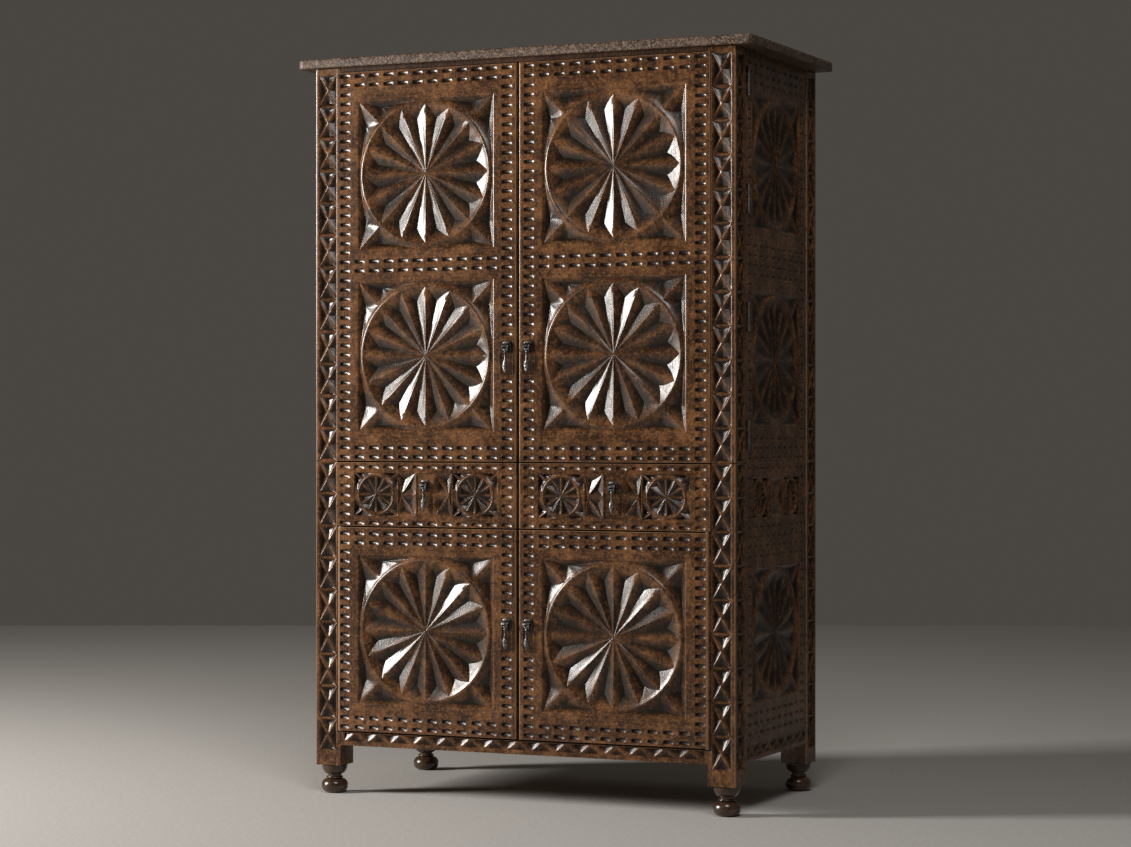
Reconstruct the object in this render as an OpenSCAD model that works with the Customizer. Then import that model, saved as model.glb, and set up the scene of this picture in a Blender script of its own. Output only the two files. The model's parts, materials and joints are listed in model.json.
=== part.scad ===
// Tall carved bar cabinet in two stacked cases.
// Upper case: two doors with two rosette panels each, over a shelved compartment. The front posts
// and a strip of the sides belong to these doors, which turn on hinges outside the side panels.
// Lower case: two drawers over two doors with one rosette panel each, hung on pivots.
// Frame: X to the right, Y to the back, Z up, origin on the floor under the middle.
// Inside the modules Y is counted from the front plane of the posts; place() centres it.

/* [Overall size] */
// Height from the floor to the top of the slab
cabinet_height = 2000; // [1900:5:2100]
// Width of the top slab
cabinet_width = 1320; // [1250:5:1400]
// Depth over the front and back posts
case_depth = 626; // [560:2:680]
// Height of the joint between the lower and the upper case
seam_height = 905; // [890:1:925]

/* [Top slab] */
// Thickness of the top slab
top_thickness = 25; // [20:1:32]
// How far the slab passes the posts at each side
top_side_overhang = 49; // [30:1:60]
// How far the slab passes the front of the posts
top_front_overhang = 16; // [10:1:22]
// How far the slab passes the back of the posts
top_back_overhang = 9; // [4:1:16]
// Radius of the slab's worn front and side edges
top_edge_radius = 3; // [1:0.5:6]

/* [Posts and feet] */
// Side of the square corner posts
post_width = 76; // [72:1:80]
// Height of the turned feet
foot_height = 78; // [70:1:90]
// Diameter of the ball of a foot
foot_ball_diameter = 73; // [64:1:74]
// Diameter of the neck over the ball
foot_neck_diameter = 37; // [30:1:44]
// Diameter of the small ring over the ball
foot_ring_diameter = 46; // [45:1:52]
// Diameter of the cup under the post
foot_cup_diameter = 70; // [60:1:72]
// Diameter of the turned tenon that holds a foot
foot_tenon_diameter = 24; // [18:1:28]
// Length of that tenon inside the post
foot_tenon_length = 35; // [20:1:50]

/* [Fronts] */
// Thickness of doors and drawer fronts
front_thickness = 22; // [20:1:24]
// How far doors and drawer fronts stand proud of the posts
front_proud = 7; // [5:0.5:9]
// How far doors and drawer fronts cover the posts
front_overlap = 9; // [7:0.5:10]
// Height of the gap between two fronts
front_gap = 4; // [3.5:0.1:5]
// Width of the gap where left and right fronts meet
meeting_gap = 7; // [5:0.5:9]
// Radius of the rounded arris where the fronts meet
meeting_radius = 4; // [2:0.5:6]
// Height of a drawer front
drawer_front_height = 172; // [160:1:180]
// Gap between the apron and the lower doors
door_foot_gap = 5; // [4:0.5:8]
// Height of the plain band over the upper doors
top_band = 12; // [8:0.5:16]
// Gap between that band and the upper doors
top_gap = 3; // [2.5:0.1:5]

/* [Case boards] */
// Thickness of floors, shelves and decks
board_thickness = 18; // [14:1:22]
// Thickness of the carved side panels
side_thickness = 20; // [18:1:24]
// How far the side panels sit behind the side faces of the posts
side_recess = 3; // [2:0.5:6]
// Thickness of the back boards
back_thickness = 12; // [9:1:15]
// Depth of the grooves in the posts that hold the panels
groove_depth = 8; // [5:1:12]
// Height of the bottom edge of the aprons
apron_bottom = 134; // [125:1:140]
// Height of the aprons
apron_height = 36; // [32:1:40]
// Thickness of the aprons
apron_thickness = 20; // [16:1:22]
// How far the aprons sit behind the posts
apron_recess = 1; // [0.5:0.5:4]
// Gap behind the closed doors
stop_gap = 1; // [0.5:0.1:1.5]
// Height of the shelf battens
batten_height = 24; // [16:1:30]
// Thickness of the shelf battens
batten_thickness = 14; // [10:1:18]
// Gap between a shelf and the front posts and sides
shelf_gap = 2; // [1:0.5:4]
// Diameter of the dowels that join the cases and the slab
dowel_diameter = 14; // [10:1:18]
// Length of those dowels
dowel_length = 44; // [30:1:60]
// Diameter of the dowels between slab and side panels
side_dowel_diameter = 10; // [6:1:12]
// Length of those thinner dowels
side_dowel_length = 36; // [20:1:44]

/* [Drawers] */
// Thickness of the drawer sides and backs
drawer_wall = 12; // [10:1:15]
// Thickness of the drawer bottoms
drawer_bottom_thickness = 6; // [4:0.5:8]
// Depth of a drawer box behind its front
drawer_box_depth = 480; // [380:5:500]
// Height of the runners under the drawers
runner_height = 6; // [4:0.5:10]
// Width of a runner under a drawer side
runner_width = 20; // [16:1:26]
// Height of the guide beside a drawer side
guide_height = 24; // [16:1:32]
// Running gap round a drawer
drawer_gap = 1; // [0.5:0.1:2]
// Gap between a drawer box and the board over it
drawer_head_gap = 12; // [6:1:20]

/* [Carved panels] */
// Width of a door's stiles beside its carved panels
stile_width = 66.25; // [62:0.25:72]
// Height of the rails over and under the panels of an upper door
upper_rail = 78.5; // [72:0.5:86]
// Height of the middle rail between the two upper panels
middle_rail = 84; // [76:1:92]
// Height of the rails over and under the panel of a lower door
lower_rail = 73; // [68:0.5:80]
// Thickness of a door's carved panel with its lip
panel_thickness = 20; // [19:0.5:21]
// Width of the lip that holds a panel in the door's rebate
panel_lip = 9; // [6:1:12]
// Gap round a panel in its opening
panel_gap = 0.3; // [0.2:0.1:0.5]
// Number of petals of a large rosette
petals = 16; // [12:4:20]
// Number of petals of a drawer rosette
small_petals = 12; // [8:4:16]
// Depth of the carving in the doors
carve_depth = 12; // [8:0.5:12]
// Depth of the carving in sides and drawers
shallow_carve_depth = 9; // [6:0.5:10]
// Width of the round moulding about a rosette
ring_width = 11; // [8:0.5:13]
// Width of a rosette recess in a side panel
side_rosette_width = 366; // [330:2:376]
// Height of a rosette recess in a side panel
side_rosette_height = 350; // [330:2:360]
// Width of a rosette recess in a drawer front
drawer_rosette_width = 133; // [122:1:140]
// Height of the carved band of a drawer front
drawer_band_height = 118; // [112:1:124]
// Width of a star panel in a drawer front
star_width = 55; // [46:1:60]
// Width of the plain panel behind a drawer pull
pull_panel_width = 54; // [44:1:60]
// Depth of the sunk plain panel behind a drawer pull
pull_panel_depth = 2; // [1:0.5:4]

/* [Carved posts and aprons] */
// Width of the carved strip on a post
strip_width = 55; // [48:1:58]
// Depth of the carved strip
strip_depth = 5.5; // [4:0.5:6]
// Number of carved units on an upper post
upper_units = 12; // [10:1:14]
// Number of carved units on a lower post
lower_units = 9; // [7:1:10]
// Plain length of an upper post over its carving
upper_plain = 17; // [12:1:30]
// Plain length of a lower post under its carving
lower_plain = 40; // [30:1:60]
// Height of the zigzag carving on the aprons
zigzag_height = 25; // [20:1:28]
// Number of teeth in the front zigzag
front_teeth = 15; // [12:1:18]
// Number of teeth in a side zigzag
side_teeth = 7; // [5:1:9]
// Depth of the zigzag carving
zigzag_depth = 4; // [3:0.5:5]
// Plain length at each end of a zigzag
zigzag_plain = 12; // [6:1:20]

/* [Hinges of the upper doors] */
// Distance of the seam between door and case behind the front of the posts
hinge_seam = 93; // [88:0.5:105]
// Width of that seam
seam_gap = 1; // [0.6:0.1:1.4]
// Number of hinges on each upper door
hinge_count = 4; // [2:1:5]
// Height of a hinge
hinge_height = 76; // [60:1:90]
// Height of the lowest hinge's middle over the seam of the cases
hinge_first = 74; // [50:1:110]
// Distance of the highest hinge's middle under the slab
hinge_last = 82; // [50:1:110]
// Diameter of a hinge's barrel
hinge_barrel = 8; // [7.6:0.2:10]
// Diameter of a hinge's pin
hinge_pin = 5; // [4:0.2:5.6]
// Radial clearance of the pin in the door's knuckles
hinge_clearance = 0.05; // [0.03:0.01:0.08]
// Gap between two knuckles
knuckle_gap = 0.3; // [0.2:0.1:0.6]
// Thickness of a hinge's leaves
hinge_leaf = 1.5; // [1:0.1:2]
// Width of a hinge's leaf in the wood
hinge_leaf_width = 17; // [12:0.5:17.5]
// Gap over and under the posts of the upper doors
door_post_gap = 2; // [1.5:0.1:3]

/* [Pivots of the lower doors] */
// Diameter of the pivot pins
pivot_diameter = 5; // [4:0.5:6]
// Length of a pin inside the door
pivot_length = 12; // [8:1:16]
// Thickness of a pivot plate
pivot_plate = 1.5; // [1:0.1:1.8]
// Width of a pivot plate
pivot_plate_width = 12; // [10:1:13]
// Gap between a pivot plate and its door
pivot_gap = 0.5; // [0.3:0.1:0.7]
// Radial clearance of a pin in its bush
pivot_clearance = 0.05; // [0.03:0.01:0.08]
// Outer diameter of a bush
bush_diameter = 9; // [8:0.5:11]
// Diameter of the bush's flange
bush_flange = 15; // [13:0.5:18]
// Thickness of that flange
bush_flange_thickness = 1; // [0.8:0.1:1.5]
// Gap between the door's round edge and the post's rebate
rebate_gap = 1; // [0.7:0.1:2]

/* [Drop pulls] */
// Width of a pull's back plate
pull_plate_width = 24; // [20:1:28]
// Thickness of that plate
pull_plate_thickness = 2.5; // [2:0.5:4]
// Height of the plate over the pull's axis
pull_plate_rise = 22; // [16:1:26]
// Height of the plate under the pull's axis
pull_plate_drop = 8; // [7:0.5:12]
// Distance of the pull's axis from the front
pull_axis_out = 11; // [9:0.5:13]
// Radius of the two ears that hold the axis
pull_ear_radius = 5.5; // [4.5:0.5:6]
// Thickness of an ear
pull_ear_thickness = 4; // [3:0.5:5]
// Gap between the ears
pull_ear_spacing = 10; // [8:0.5:12]
// Diameter of the pull's axle
pull_axle_diameter = 4; // [3:0.5:5]
// Radius of the eye that turns on the axle
pull_eye_radius = 5; // [4:0.5:6]
// Diameter of the stem
pull_stem_diameter = 5; // [4:0.5:6]
// Distance from the axis to the top of the leaf
pull_stem_length = 29; // [22:1:34]
// Length of the leaf
pull_leaf_length = 32; // [26:1:38]
// Width of the leaf
pull_leaf_width = 15; // [12:1:20]
// Thickness of the leaf
pull_leaf_thickness = 4.5; // [3:0.5:6]
// Distance of a door pull from the meeting edge
pull_inset = 27.5; // [24:0.5:32]
// Height of a door pull's axis over the bottom of its door
pull_height = 296; // [260:2:340]
// Height of a drawer pull's axis over the middle of the drawer front
drawer_pull_rise = 18; // [14:1:22]
// Side gap of the eye between the ears
pull_side_gap = 0.3; // [0.2:0.1:0.5]

/* [Hidden] */
$fn = 48;

walnut = "#5b3a22";
walnut_dark = "#472c1a";
walnut_inside = "#6d4a2e";
slab_wood = "#6a5040";
black_iron = "#2b2b2d";
steel = "#8a8a88";
hinge_steel = "#b9b9b4";
bush_brass = "#a5844a";

// Posts
post_x = cabinet_width / 2 - top_side_overhang;
post_inner = post_x - post_width;
back_post_y = case_depth - post_width;
case_top_z = cabinet_height - top_thickness;

// Heights of the fronts
drawer_top_z = seam_height - front_gap / 2;
drawer_bottom_z = drawer_top_z - drawer_front_height;
lower_door_top = drawer_bottom_z - front_gap;
apron_top = apron_bottom + apron_height;
lower_door_bottom = apron_top + door_foot_gap;
upper_door_bottom = seam_height + front_gap / 2;
upper_door_top = case_top_z - top_band - top_gap;

// Plan of a front
front_edge = post_inner + front_overlap;
meeting_edge = meeting_gap / 2;
front_middle = (front_edge + meeting_edge) / 2;
front_back_y = front_thickness - front_proud;
stop_y = front_back_y + stop_gap;
hinge_radius = front_thickness / 2;
hinge_x = front_edge - hinge_radius;
hinge_y = hinge_radius - front_proud;

// Carved panels of the doors
panel_width = front_edge - meeting_edge - 2 * stile_width;
upper_panel_height = (upper_door_top - upper_door_bottom - middle_rail) / 2 - upper_rail;
lower_panel_height = lower_door_top - lower_door_bottom - 2 * lower_rail;
rebate_x = front_edge + rebate_gap;

// Boards
side_face = post_x - side_recess;
side_inner = side_face - side_thickness;
back_y = case_depth - back_thickness - 6;
groove_gap = 0.2;
floor_z = apron_top;
deck_top = drawer_bottom_z + 4;
shelf_front = [hinge_seam + 4, hinge_seam + 4, stop_y + 8];
upper_clear = (case_top_z - seam_height - board_thickness) / 3;
shelf_z = [seam_height + upper_clear, seam_height + 2 * upper_clear,
    (floor_z + board_thickness + deck_top - board_thickness) / 2];
shelf_inner_x = side_inner - shelf_gap;

// Hinges of the upper doors
hinge_axis_x = side_face + hinge_barrel / 2 + 0.5;
case_edge_y = hinge_seam + seam_gap / 2;
door_edge_y = hinge_seam - seam_gap / 2;
hinge_span = case_top_z - hinge_last - seam_height - hinge_first;
hinge_z = [for (i = [0:hinge_count - 1]) seam_height + hinge_first + hinge_span * i / (hinge_count - 1)];

// Drawer boxes
divider_thickness = board_thickness;
drawer_inner_x = divider_thickness / 2 + drawer_gap;
guide_x = post_inner - groove_gap;
guide_thickness = 14;
drawer_outer_x = guide_x - guide_thickness - drawer_gap;
drawer_floor_z = deck_top + runner_height + 0.3;
drawer_roof_z = seam_height - board_thickness - drawer_head_gap;
drawer_groove_rise = 8;

// Carving
carve_lip = 1;
lift = 2;
crest_lip = 0.3;
cut_lip = 0.4;
small_ring = 7;

// Pulls
pull_reach = pull_axis_out + pull_ear_radius;
front_reach = max(top_front_overhang, front_proud + pull_reach);
back_reach = case_depth + top_back_overhang;
shift_y = (front_reach - back_reach) / 2;

module place() {
    translate([0, shift_y, 0]) children();
}

// A box given by its lowest and highest corners
module block(low, high) {
    translate(low) cube(high - low);
}

// One copy on each side of the middle plane
module both_sides() {
    children();
    mirror([1, 0, 0]) children();
}

module only_side(side) {
    if (side > 0) children();
    else mirror([1, 0, 0]) children();
}

// Carving cutters. Each works in a plane with u to the right and v up, and w out of the wood.
// The relief is a list of facets, seen anticlockwise from outside, with an outline loop round it.
// The flat top is a fan about the middle, a point in view of the whole loop.
module cutter(points, facets, loop, middle) {
    count = len(points);
    rim = len(loop);
    top = [for (i = loop) [points[i][0], points[i][1], lift]];
    cap = [for (i = [0:rim - 1]) [count + (i + 1) % rim, count + i, count + rim]];
    walls = [for (i = [0:rim - 1]) let (j = (i + 1) % rim) [loop[i], count + i, count + j, loop[j]]];
    polyhedron(concat(points, top, [[middle[0], middle[1], lift]]), concat(facets, cap, walls));
}

// Three facets from a triangle down to its deepest point
function chip(a, b, c, deep) = [[a, b, deep], [b, c, deep], [c, a, deep]];

// Facets from a closed chain of points down to its deepest point
function pit(chain, deep) = [for (i = [0:len(chain) - 1]) [chain[i], chain[(i + 1) % len(chain)], deep]];

function on_circle(radius, angle, w) = [radius * cos(angle), radius * sin(angle), w];

// Carve a rosette with a round moulding into the wood that follows, with a spike in each corner
// of its rectangle. One cut makes the flower and four more make the corners, with the moulding
// left between them.
module carve_rosette(at, to_right, width, height, count, depth, ring) {
    outer = min(width, height) / 2 - 2;
    difference() {
        children();
        on_face(at, to_right) flower(outer - ring, count, depth, ring / 3);
        for (s = [0, 1], t = [0, 1]) on_face(at, to_right) mirror([s, 0, 0]) mirror([0, t, 0])
            rosette_corner(width / 2, height / 2, outer, count / 2, depth, ring / 3);
    }
}

// Petals that meet in the middle, a chip behind each pair, and the inner slope of the moulding
module flower(radius, count, depth, slope) {
    step = 360 / count;
    half = 2 * count;
    shoulder_r = 0.81 * radius;
    crest_r = radius + slope;
    low = 1 + count;
    high = low + half;
    points = concat([[0, 0, -0.3 * depth]],
        [for (k = [0:count - 1]) on_circle(shoulder_r, (k + 0.5) * step, -depth)],
        [for (j = [0:half - 1]) on_circle(radius, j * step / 2, -2 * carve_lip)],
        [for (j = [0:half - 1]) on_circle(crest_r, j * step / 2, -crest_lip)]);
    petal_facets = [for (k = [0:count - 1]) let (tip = low + 2 * k, after = 1 + k,
        before = 1 + (k + count - 1) % count) each [[0, before, tip], [0, tip, after]]];
    chip_facets = [for (k = [0:count - 1]) let (s = 1 + k, a = low + 2 * k, m = a + 1,
        b = low + (2 * k + 2) % half) each [[s, a, m], [s, m, b]]];
    slope_facets = [for (j = [0:half - 1]) let (n = (j + 1) % half)
        [low + j, high + j, high + n, low + n]];
    loop = [for (j = [0:half - 1]) high + j];
    cutter(points, concat(petal_facets, chip_facets, slope_facets), loop, [0, 0]);
}

// The corner over the first quarter of the moulding, with a spike between two pits
module rosette_corner(hw, hh, outer, q, depth, slope) {
    step = 90 / q;
    edge_in = 0.1 * outer;
    edge_along = 0.34 * outer;
    e = outer * sin(step);
    crest_r = outer - slope;
    ring_low = 4;
    ring_high = ring_low + q - 1;
    m = q / 2;
    points = concat(
        [[hw, e, -carve_lip], [hw, hh, -carve_lip], [hw - edge_in, hh - edge_along, -depth],
            [e, hh, -carve_lip]],
        [for (j = [1:q - 1]) on_circle(outer, j * step, -2 * carve_lip)],
        [for (j = [1:q - 1]) on_circle(crest_r, j * step, -crest_lip)],
        [[hw - edge_along, hh - edge_in, -depth]]);
    level_pit = len(points) - 1;
    facets = concat(
        pit(concat([0, 1], [for (j = [m:-1:1]) ring_low + j - 1]), 2),
        pit(concat([1, 3], [for (j = [q - 1:-1:m]) ring_low + j - 1]), level_pit),
        [for (j = [0:q - 3]) [ring_low + j, ring_low + j + 1, ring_high + j + 1, ring_high + j]],
        [[0, ring_low, ring_high], [3, ring_high + q - 2, ring_low + q - 2]]);
    cutter(points, facets, concat([0, 1, 3], [for (j = [q - 2:-1:0]) ring_high + j]),
        [hw - edge_in / 2, hh - edge_in / 2]);
}

// A strip of hourglass units, each with a leaf over and under it
module post_strip(width, length, units, depth) {
    a = width / 2;
    p = length / units;
    sag = 0.1 * p;
    ends = [for (i = [0:units]) each [[-a, i * p, -cut_lip], [a, i * p, -cut_lip]]];
    base = 2 * (units + 1);
    // Nine points a unit: middle, left and right pits, three under the upper leaf, three over the lower
    inside = [for (i = [0:units - 1]) let (z = (i + 0.5) * p, t = (i + 1) * p, b = i * p) each [
        [0, z, -cut_lip], [-0.66 * a, z, -depth], [0.66 * a, z, -depth],
        [-0.5 * a, t - 0.75 * sag, -0.6 * depth], [0, t - sag, -depth],
        [0.5 * a, t - 0.75 * sag, -0.6 * depth],
        [-0.5 * a, b + 0.75 * sag, -0.6 * depth], [0, b + sag, -depth],
        [0.5 * a, b + 0.75 * sag, -0.6 * depth]]];
    facets = [for (i = [0:units - 1]) let (bl = 2 * i, br = bl + 1, tl = bl + 2, tr = bl + 3,
        c = base + 9 * i, pl = c + 1, pr = c + 2, u1 = c + 3, u2 = c + 4, u3 = c + 5,
        d1 = c + 6, d2 = c + 7, d3 = c + 8)
        each concat(chip(tl, bl, c, pl), chip(br, tr, c, pr), [
            [tr, tl, u2], [tl, u1, u2], [u2, u3, tr],
            [tl, c, u1], [u1, c, u2], [u2, c, u3], [u3, c, tr],
            [bl, br, d2], [br, d3, d2], [d2, d1, bl],
            [bl, d1, c], [d1, d2, c], [d2, d3, c], [d3, br, c]])];
    loop = concat([0, 1], [for (i = [1:units]) 2 * i + 1], [for (i = [units:-1:1]) 2 * i]);
    cutter(concat(ends, inside), facets, loop, [0, length / 2]);
}

// A zigzag of teeth, each with a chip whose valley runs to its point
module zigzag(length, height, teeth, depth) {
    p = length / teeth;
    top = teeth + 1;
    low_pits = top + teeth + 2;
    high_pits = low_pits + teeth;
    points = concat(
        [for (i = [0:teeth]) [i * p, 0, -cut_lip]],
        [[0, height, -cut_lip]], [for (i = [0:teeth - 1]) [(i + 0.5) * p, height, -cut_lip]],
        [[length, height, -cut_lip]],
        [for (i = [0:teeth - 1]) [(i + 0.5) * p, 0.25 * height, -depth]],
        [for (i = [0:teeth]) [i == 0 ? 0.14 * p : i == teeth ? length - 0.14 * p : i * p,
            0.75 * height, -depth]]);
    facets = concat(
        [for (i = [0:teeth - 1]) each chip(i, i + 1, top + 1 + i, low_pits + i)],
        [for (i = [0:teeth]) each chip(i, top + 1 + i, top + i, high_pits + i)]);
    loop = concat([for (i = [0:teeth]) i], [for (i = [teeth + 1:-1:0]) top + i]);
    cutter(points, facets, loop, [length / 2, height / 2]);
}

// Three rays from the middle of one upright edge to the other, with the chips between them
module half_star(width, height, depth) {
    hh = height / 2;
    points = [[0, 0, -cut_lip], [0, hh, -carve_lip], [width, hh, -carve_lip], [width, 0, -carve_lip],
        [width, -hh, -carve_lip], [0, -hh, -carve_lip],
        [0.3 * width, 0.74 * hh, -depth], [0.72 * width, 0.34 * hh, -depth],
        [0.72 * width, -0.34 * hh, -depth], [0.3 * width, -0.74 * hh, -depth]];
    facets = concat(chip(1, 0, 2, 6), chip(0, 3, 2, 7), chip(0, 4, 3, 8), chip(5, 4, 0, 9));
    cutter(points, facets, [5, 4, 3, 2, 1, 0], [width / 2, 0]);
}

// Four chips that leave a cross of two ridges
module cross_star(width, height, depth) {
    a = width / 2;
    b = height / 2;
    points = [[-a, -b, -carve_lip], [a, -b, -carve_lip], [a, b, -carve_lip], [-a, b, -carve_lip],
        [0, 0, -cut_lip], [0, -0.7 * b, -depth], [0.7 * a, 0, -depth], [0, 0.7 * b, -depth],
        [-0.7 * a, 0, -depth]];
    facets = concat(chip(0, 1, 4, 5), chip(1, 2, 4, 6), chip(2, 3, 4, 7), chip(3, 0, 4, 8));
    cutter(points, facets, [0, 1, 2, 3], [0, 0]);
}

// Turn a cutter to the front or to the right face: u, v, w become the directions of that face
module on_face(at, to_right) {
    translate(at) rotate([90, 0, to_right ? 90 : 0]) children();
}

// Corner posts. Right-hand ones are drawn, and mirrored for the left.
module post_grooves(low, high, front) {
    panel_y = front ? post_width - groove_depth : back_post_y - 1;
    block([side_inner - groove_gap, panel_y, low - 1],
        [side_face + groove_gap, panel_y + groove_depth + 1, high + 1]);
    if (!front)
        block([post_inner - 1, back_y - groove_gap, low - 1],
            [post_inner + groove_depth, back_y + back_thickness + groove_gap, high + 1]);
}

module apron_mortises(front) {
    y = front ? post_width - groove_depth : back_post_y - 1;
    block([post_x - apron_recess - apron_thickness - groove_gap, y, apron_bottom - groove_gap],
        [post_x - apron_recess + groove_gap, y + groove_depth + 1, apron_top + groove_gap]);
    if (front)
        block([post_inner - 1, apron_recess - groove_gap, apron_bottom - groove_gap],
            [post_inner + groove_depth, apron_recess + apron_thickness + groove_gap, apron_top + groove_gap]);
}

// Horizontal boards pass round the inner corner of a post
module upper_back_post(side) {
    low = seam_height;
    high = case_top_z;
    y0 = back_post_y;
    color(walnut) place() only_side(side) difference() {
        block([post_inner, y0, low], [post_x, y0 + post_width, high]);
        post_grooves(low, high, false);
        on_face([post_x, y0 + post_width / 2, low + cut_lip], true)
            post_strip(strip_width, high - upper_plain - low - cut_lip, upper_units, strip_depth);
        post_dowels();
    }
}

// A front post of the upper case is part of its door, and stands clear of slab and lower case
module upper_front_post(side) {
    low = seam_height + door_post_gap;
    high = case_top_z - door_post_gap;
    strip = case_top_z - upper_plain - low - cut_lip;
    color(walnut) place() only_side(side) difference() {
        block([post_inner, 0, low], [post_x, post_width, high]);
        post_grooves(low, high, true);
        block([post_inner - 1, -1, upper_door_bottom], [front_edge, front_back_y, upper_door_top]);
        on_face([post_x - post_width / 2, 0, low + cut_lip], false)
            post_strip(strip_width, strip, upper_units, strip_depth);
        on_face([post_x, post_width / 2, low + cut_lip], true)
            post_strip(strip_width, strip, upper_units, strip_depth);
    }
}

module lower_post(side, front) {
    low = foot_height;
    high = seam_height;
    y0 = front ? 0 : back_post_y;
    strip = high - low - lower_plain - cut_lip;
    color(walnut) place() only_side(side) difference() {
        block([post_inner, y0, low], [post_x, y0 + post_width, high]);
        post_grooves(apron_top, high, front);
        apron_mortises(front);
        if (front) {
            block([post_inner - 1, -1, apron_top], [rebate_x, stop_y, high + 1]);
            on_face([post_x - post_width / 2, 0, low + lower_plain], false)
                post_strip(strip_width, strip, lower_units, strip_depth);
            for (z = [lower_pivot_low, lower_pivot_high]) plate_slot(z);
        }
        else
            block([post_inner - 1, back_y - groove_gap, apron_bottom],
                [post_inner + groove_depth, back_y + back_thickness + groove_gap, high]);
        on_face([post_x, y0 + post_width / 2, low + lower_plain], true)
            post_strip(strip_width, strip, lower_units, strip_depth);
        post_dowels();
        translate([post_x - post_width / 2, y0 + post_width / 2, low - 1])
            cylinder(d = foot_tenon_diameter, h = foot_tenon_length + 1);
    }
}

// Dowels stand in the back posts, across the seam and under the slab
module post_dowels() {
    for (z = [seam_height, case_top_z])
        translate([post_x - post_width / 2, back_post_y + post_width / 2, z - dowel_length / 2])
            cylinder(d = dowel_diameter, h = dowel_length);
}

// Dowels near the front join the floor to the board under it, and the slab to the side panels
front_dowel_y = hinge_seam + 36;

module floor_dowels() {
    translate([post_inner - 30, front_dowel_y, seam_height - board_thickness + 3])
        cylinder(d = dowel_diameter, h = 2 * board_thickness - 6);
}

module side_dowels() {
    translate([side_face - side_thickness / 2, front_dowel_y, case_top_z - side_dowel_length / 2])
        cylinder(d = side_dowel_diameter, h = side_dowel_length);
}

module case_dowels() {
    color(walnut_inside) place() both_sides() {
        post_dowels();
        floor_dowels();
        side_dowels();
    }
}

// The slab lies on the back posts and the side panels
module top_slab() {
    half = cabinet_width / 2;
    r = top_edge_radius;
    color(slab_wood) place() difference() {
        union() {
            block([-half, -top_front_overhang, case_top_z],
                [half, back_reach, cabinet_height - r]);
            block([-half + r, r - top_front_overhang, case_top_z],
                [half - r, back_reach, cabinet_height]);
            translate([-half + r, r - top_front_overhang, cabinet_height - r]) rotate([0, 90, 0])
                cylinder(r = r, h = cabinet_width - 2 * r);
            both_sides() translate([half - r, r - top_front_overhang, cabinet_height - r]) {
                rotate([-90, 0, 0]) cylinder(r = r, h = back_reach + top_front_overhang - r);
                sphere(r = r);
            }
        }
        both_sides() {
            post_dowels();
            side_dowels();
        }
    }
}

// The rail under the slab shows as a plain band, and its lower part stops the doors
module top_rail() {
    band_z = case_top_z - top_band;
    x = post_inner - shelf_gap;
    color(walnut_dark) place() union() {
        block([-x, 0, band_z], [x, stop_y + board_thickness, case_top_z]);
        block([-x, stop_y, band_z - 2 * board_thickness], [x, stop_y + board_thickness, band_z]);
    }
}

// Carved side panels, let into grooves of the posts
groove_start = post_width - groove_depth + groove_gap;

module side_board(front_y, low, high) {
    block([side_inner, front_y, low], [side_face, back_post_y + groove_depth - groove_gap, high]);
}

side_middle_y = case_depth / 2;

module side_rosette(z) {
    carve_rosette([side_face, side_middle_y, z], true, side_rosette_width, side_rosette_height, petals,
        shallow_carve_depth, ring_width) children();
}

module upper_side(side) {
    rise = (case_top_z - seam_height) / 4;
    low = seam_height + rise + 3.5;
    high = case_top_z - rise - 17.5;
    color(walnut) place() only_side(side)
        side_rosette(low) side_rosette(high) difference() {
            side_board(case_edge_y, seam_height, case_top_z);
            for (z = hinge_z) leaf_plate(1, z, 1);
            side_dowels();
        }
}

// The strip of a side that belongs to its door, between the front post and the hinges
module door_stile(side) {
    color(walnut) place() only_side(side) difference() {
        block([side_inner, groove_start, seam_height + door_post_gap],
            [side_face, door_edge_y, case_top_z - door_post_gap]);
        for (z = hinge_z) leaf_plate(-1, z, 1);
    }
}

// Side band at drawer height: rosette, cross, rosette
side_small = 0.34 * side_rosette_width;
side_cross = side_rosette_width - 2 * side_small;
side_band_height = min(drawer_band_height - 10, side_small);
side_band_z = (drawer_bottom_z + drawer_top_z) / 2;
lower_rosette_z = (apron_top + drawer_bottom_z) / 2 + 3.5;

module side_small_rosette(s) {
    middle = side_middle_y + s * (side_cross + side_small) / 2;
    carve_rosette([side_face, middle, side_band_z], true, side_small - 4, side_band_height, small_petals,
        shallow_carve_depth - 2, small_ring) children();
}

module lower_side(side) {
    color(walnut) place() only_side(side)
        side_small_rosette(-1) side_small_rosette(1) side_rosette(lower_rosette_z) difference() {
            side_board(groove_start, apron_top, seam_height);
            on_face([side_face, side_middle_y, side_band_z], true)
                cross_star(side_cross - 4, side_band_height, shallow_carve_depth - 2);
        }
}

// Thin back boards, let into the back posts
module back_boards() {
    x = post_inner + groove_depth - groove_gap;
    color(walnut_inside) place() {
        block([-x, back_y, seam_height], [x, back_y + back_thickness, case_top_z]);
        block([-x, back_y, apron_bottom], [x, back_y + back_thickness, seam_height - groove_gap]);
    }
}

// A board that fills the case, cut round the posts: the front cut ends behind what stands there
module case_board(low, cut_y) {
    gap = groove_gap;
    x = side_inner;
    high = low + board_thickness;
    difference() {
        block([-x, stop_y, low], [x, back_y - gap, high]);
        both_sides() {
            block([post_inner - gap, stop_y - 1, low - 1], [x + 1, cut_y + gap, high + 1]);
            block([post_inner - gap, back_post_y - gap, low - 1], [x + 1, back_y + 1, high + 1]);
            floor_dowels();
        }
    }
}

module case_floors() {
    color(walnut_inside) place() {
        case_board(seam_height, case_edge_y);
        case_board(floor_z, post_width);
    }
}

module case_decks() {
    color(walnut_inside) place() {
        case_board(seam_height - board_thickness, post_width);
        case_board(deck_top - board_thickness, post_width);
    }
}

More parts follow.
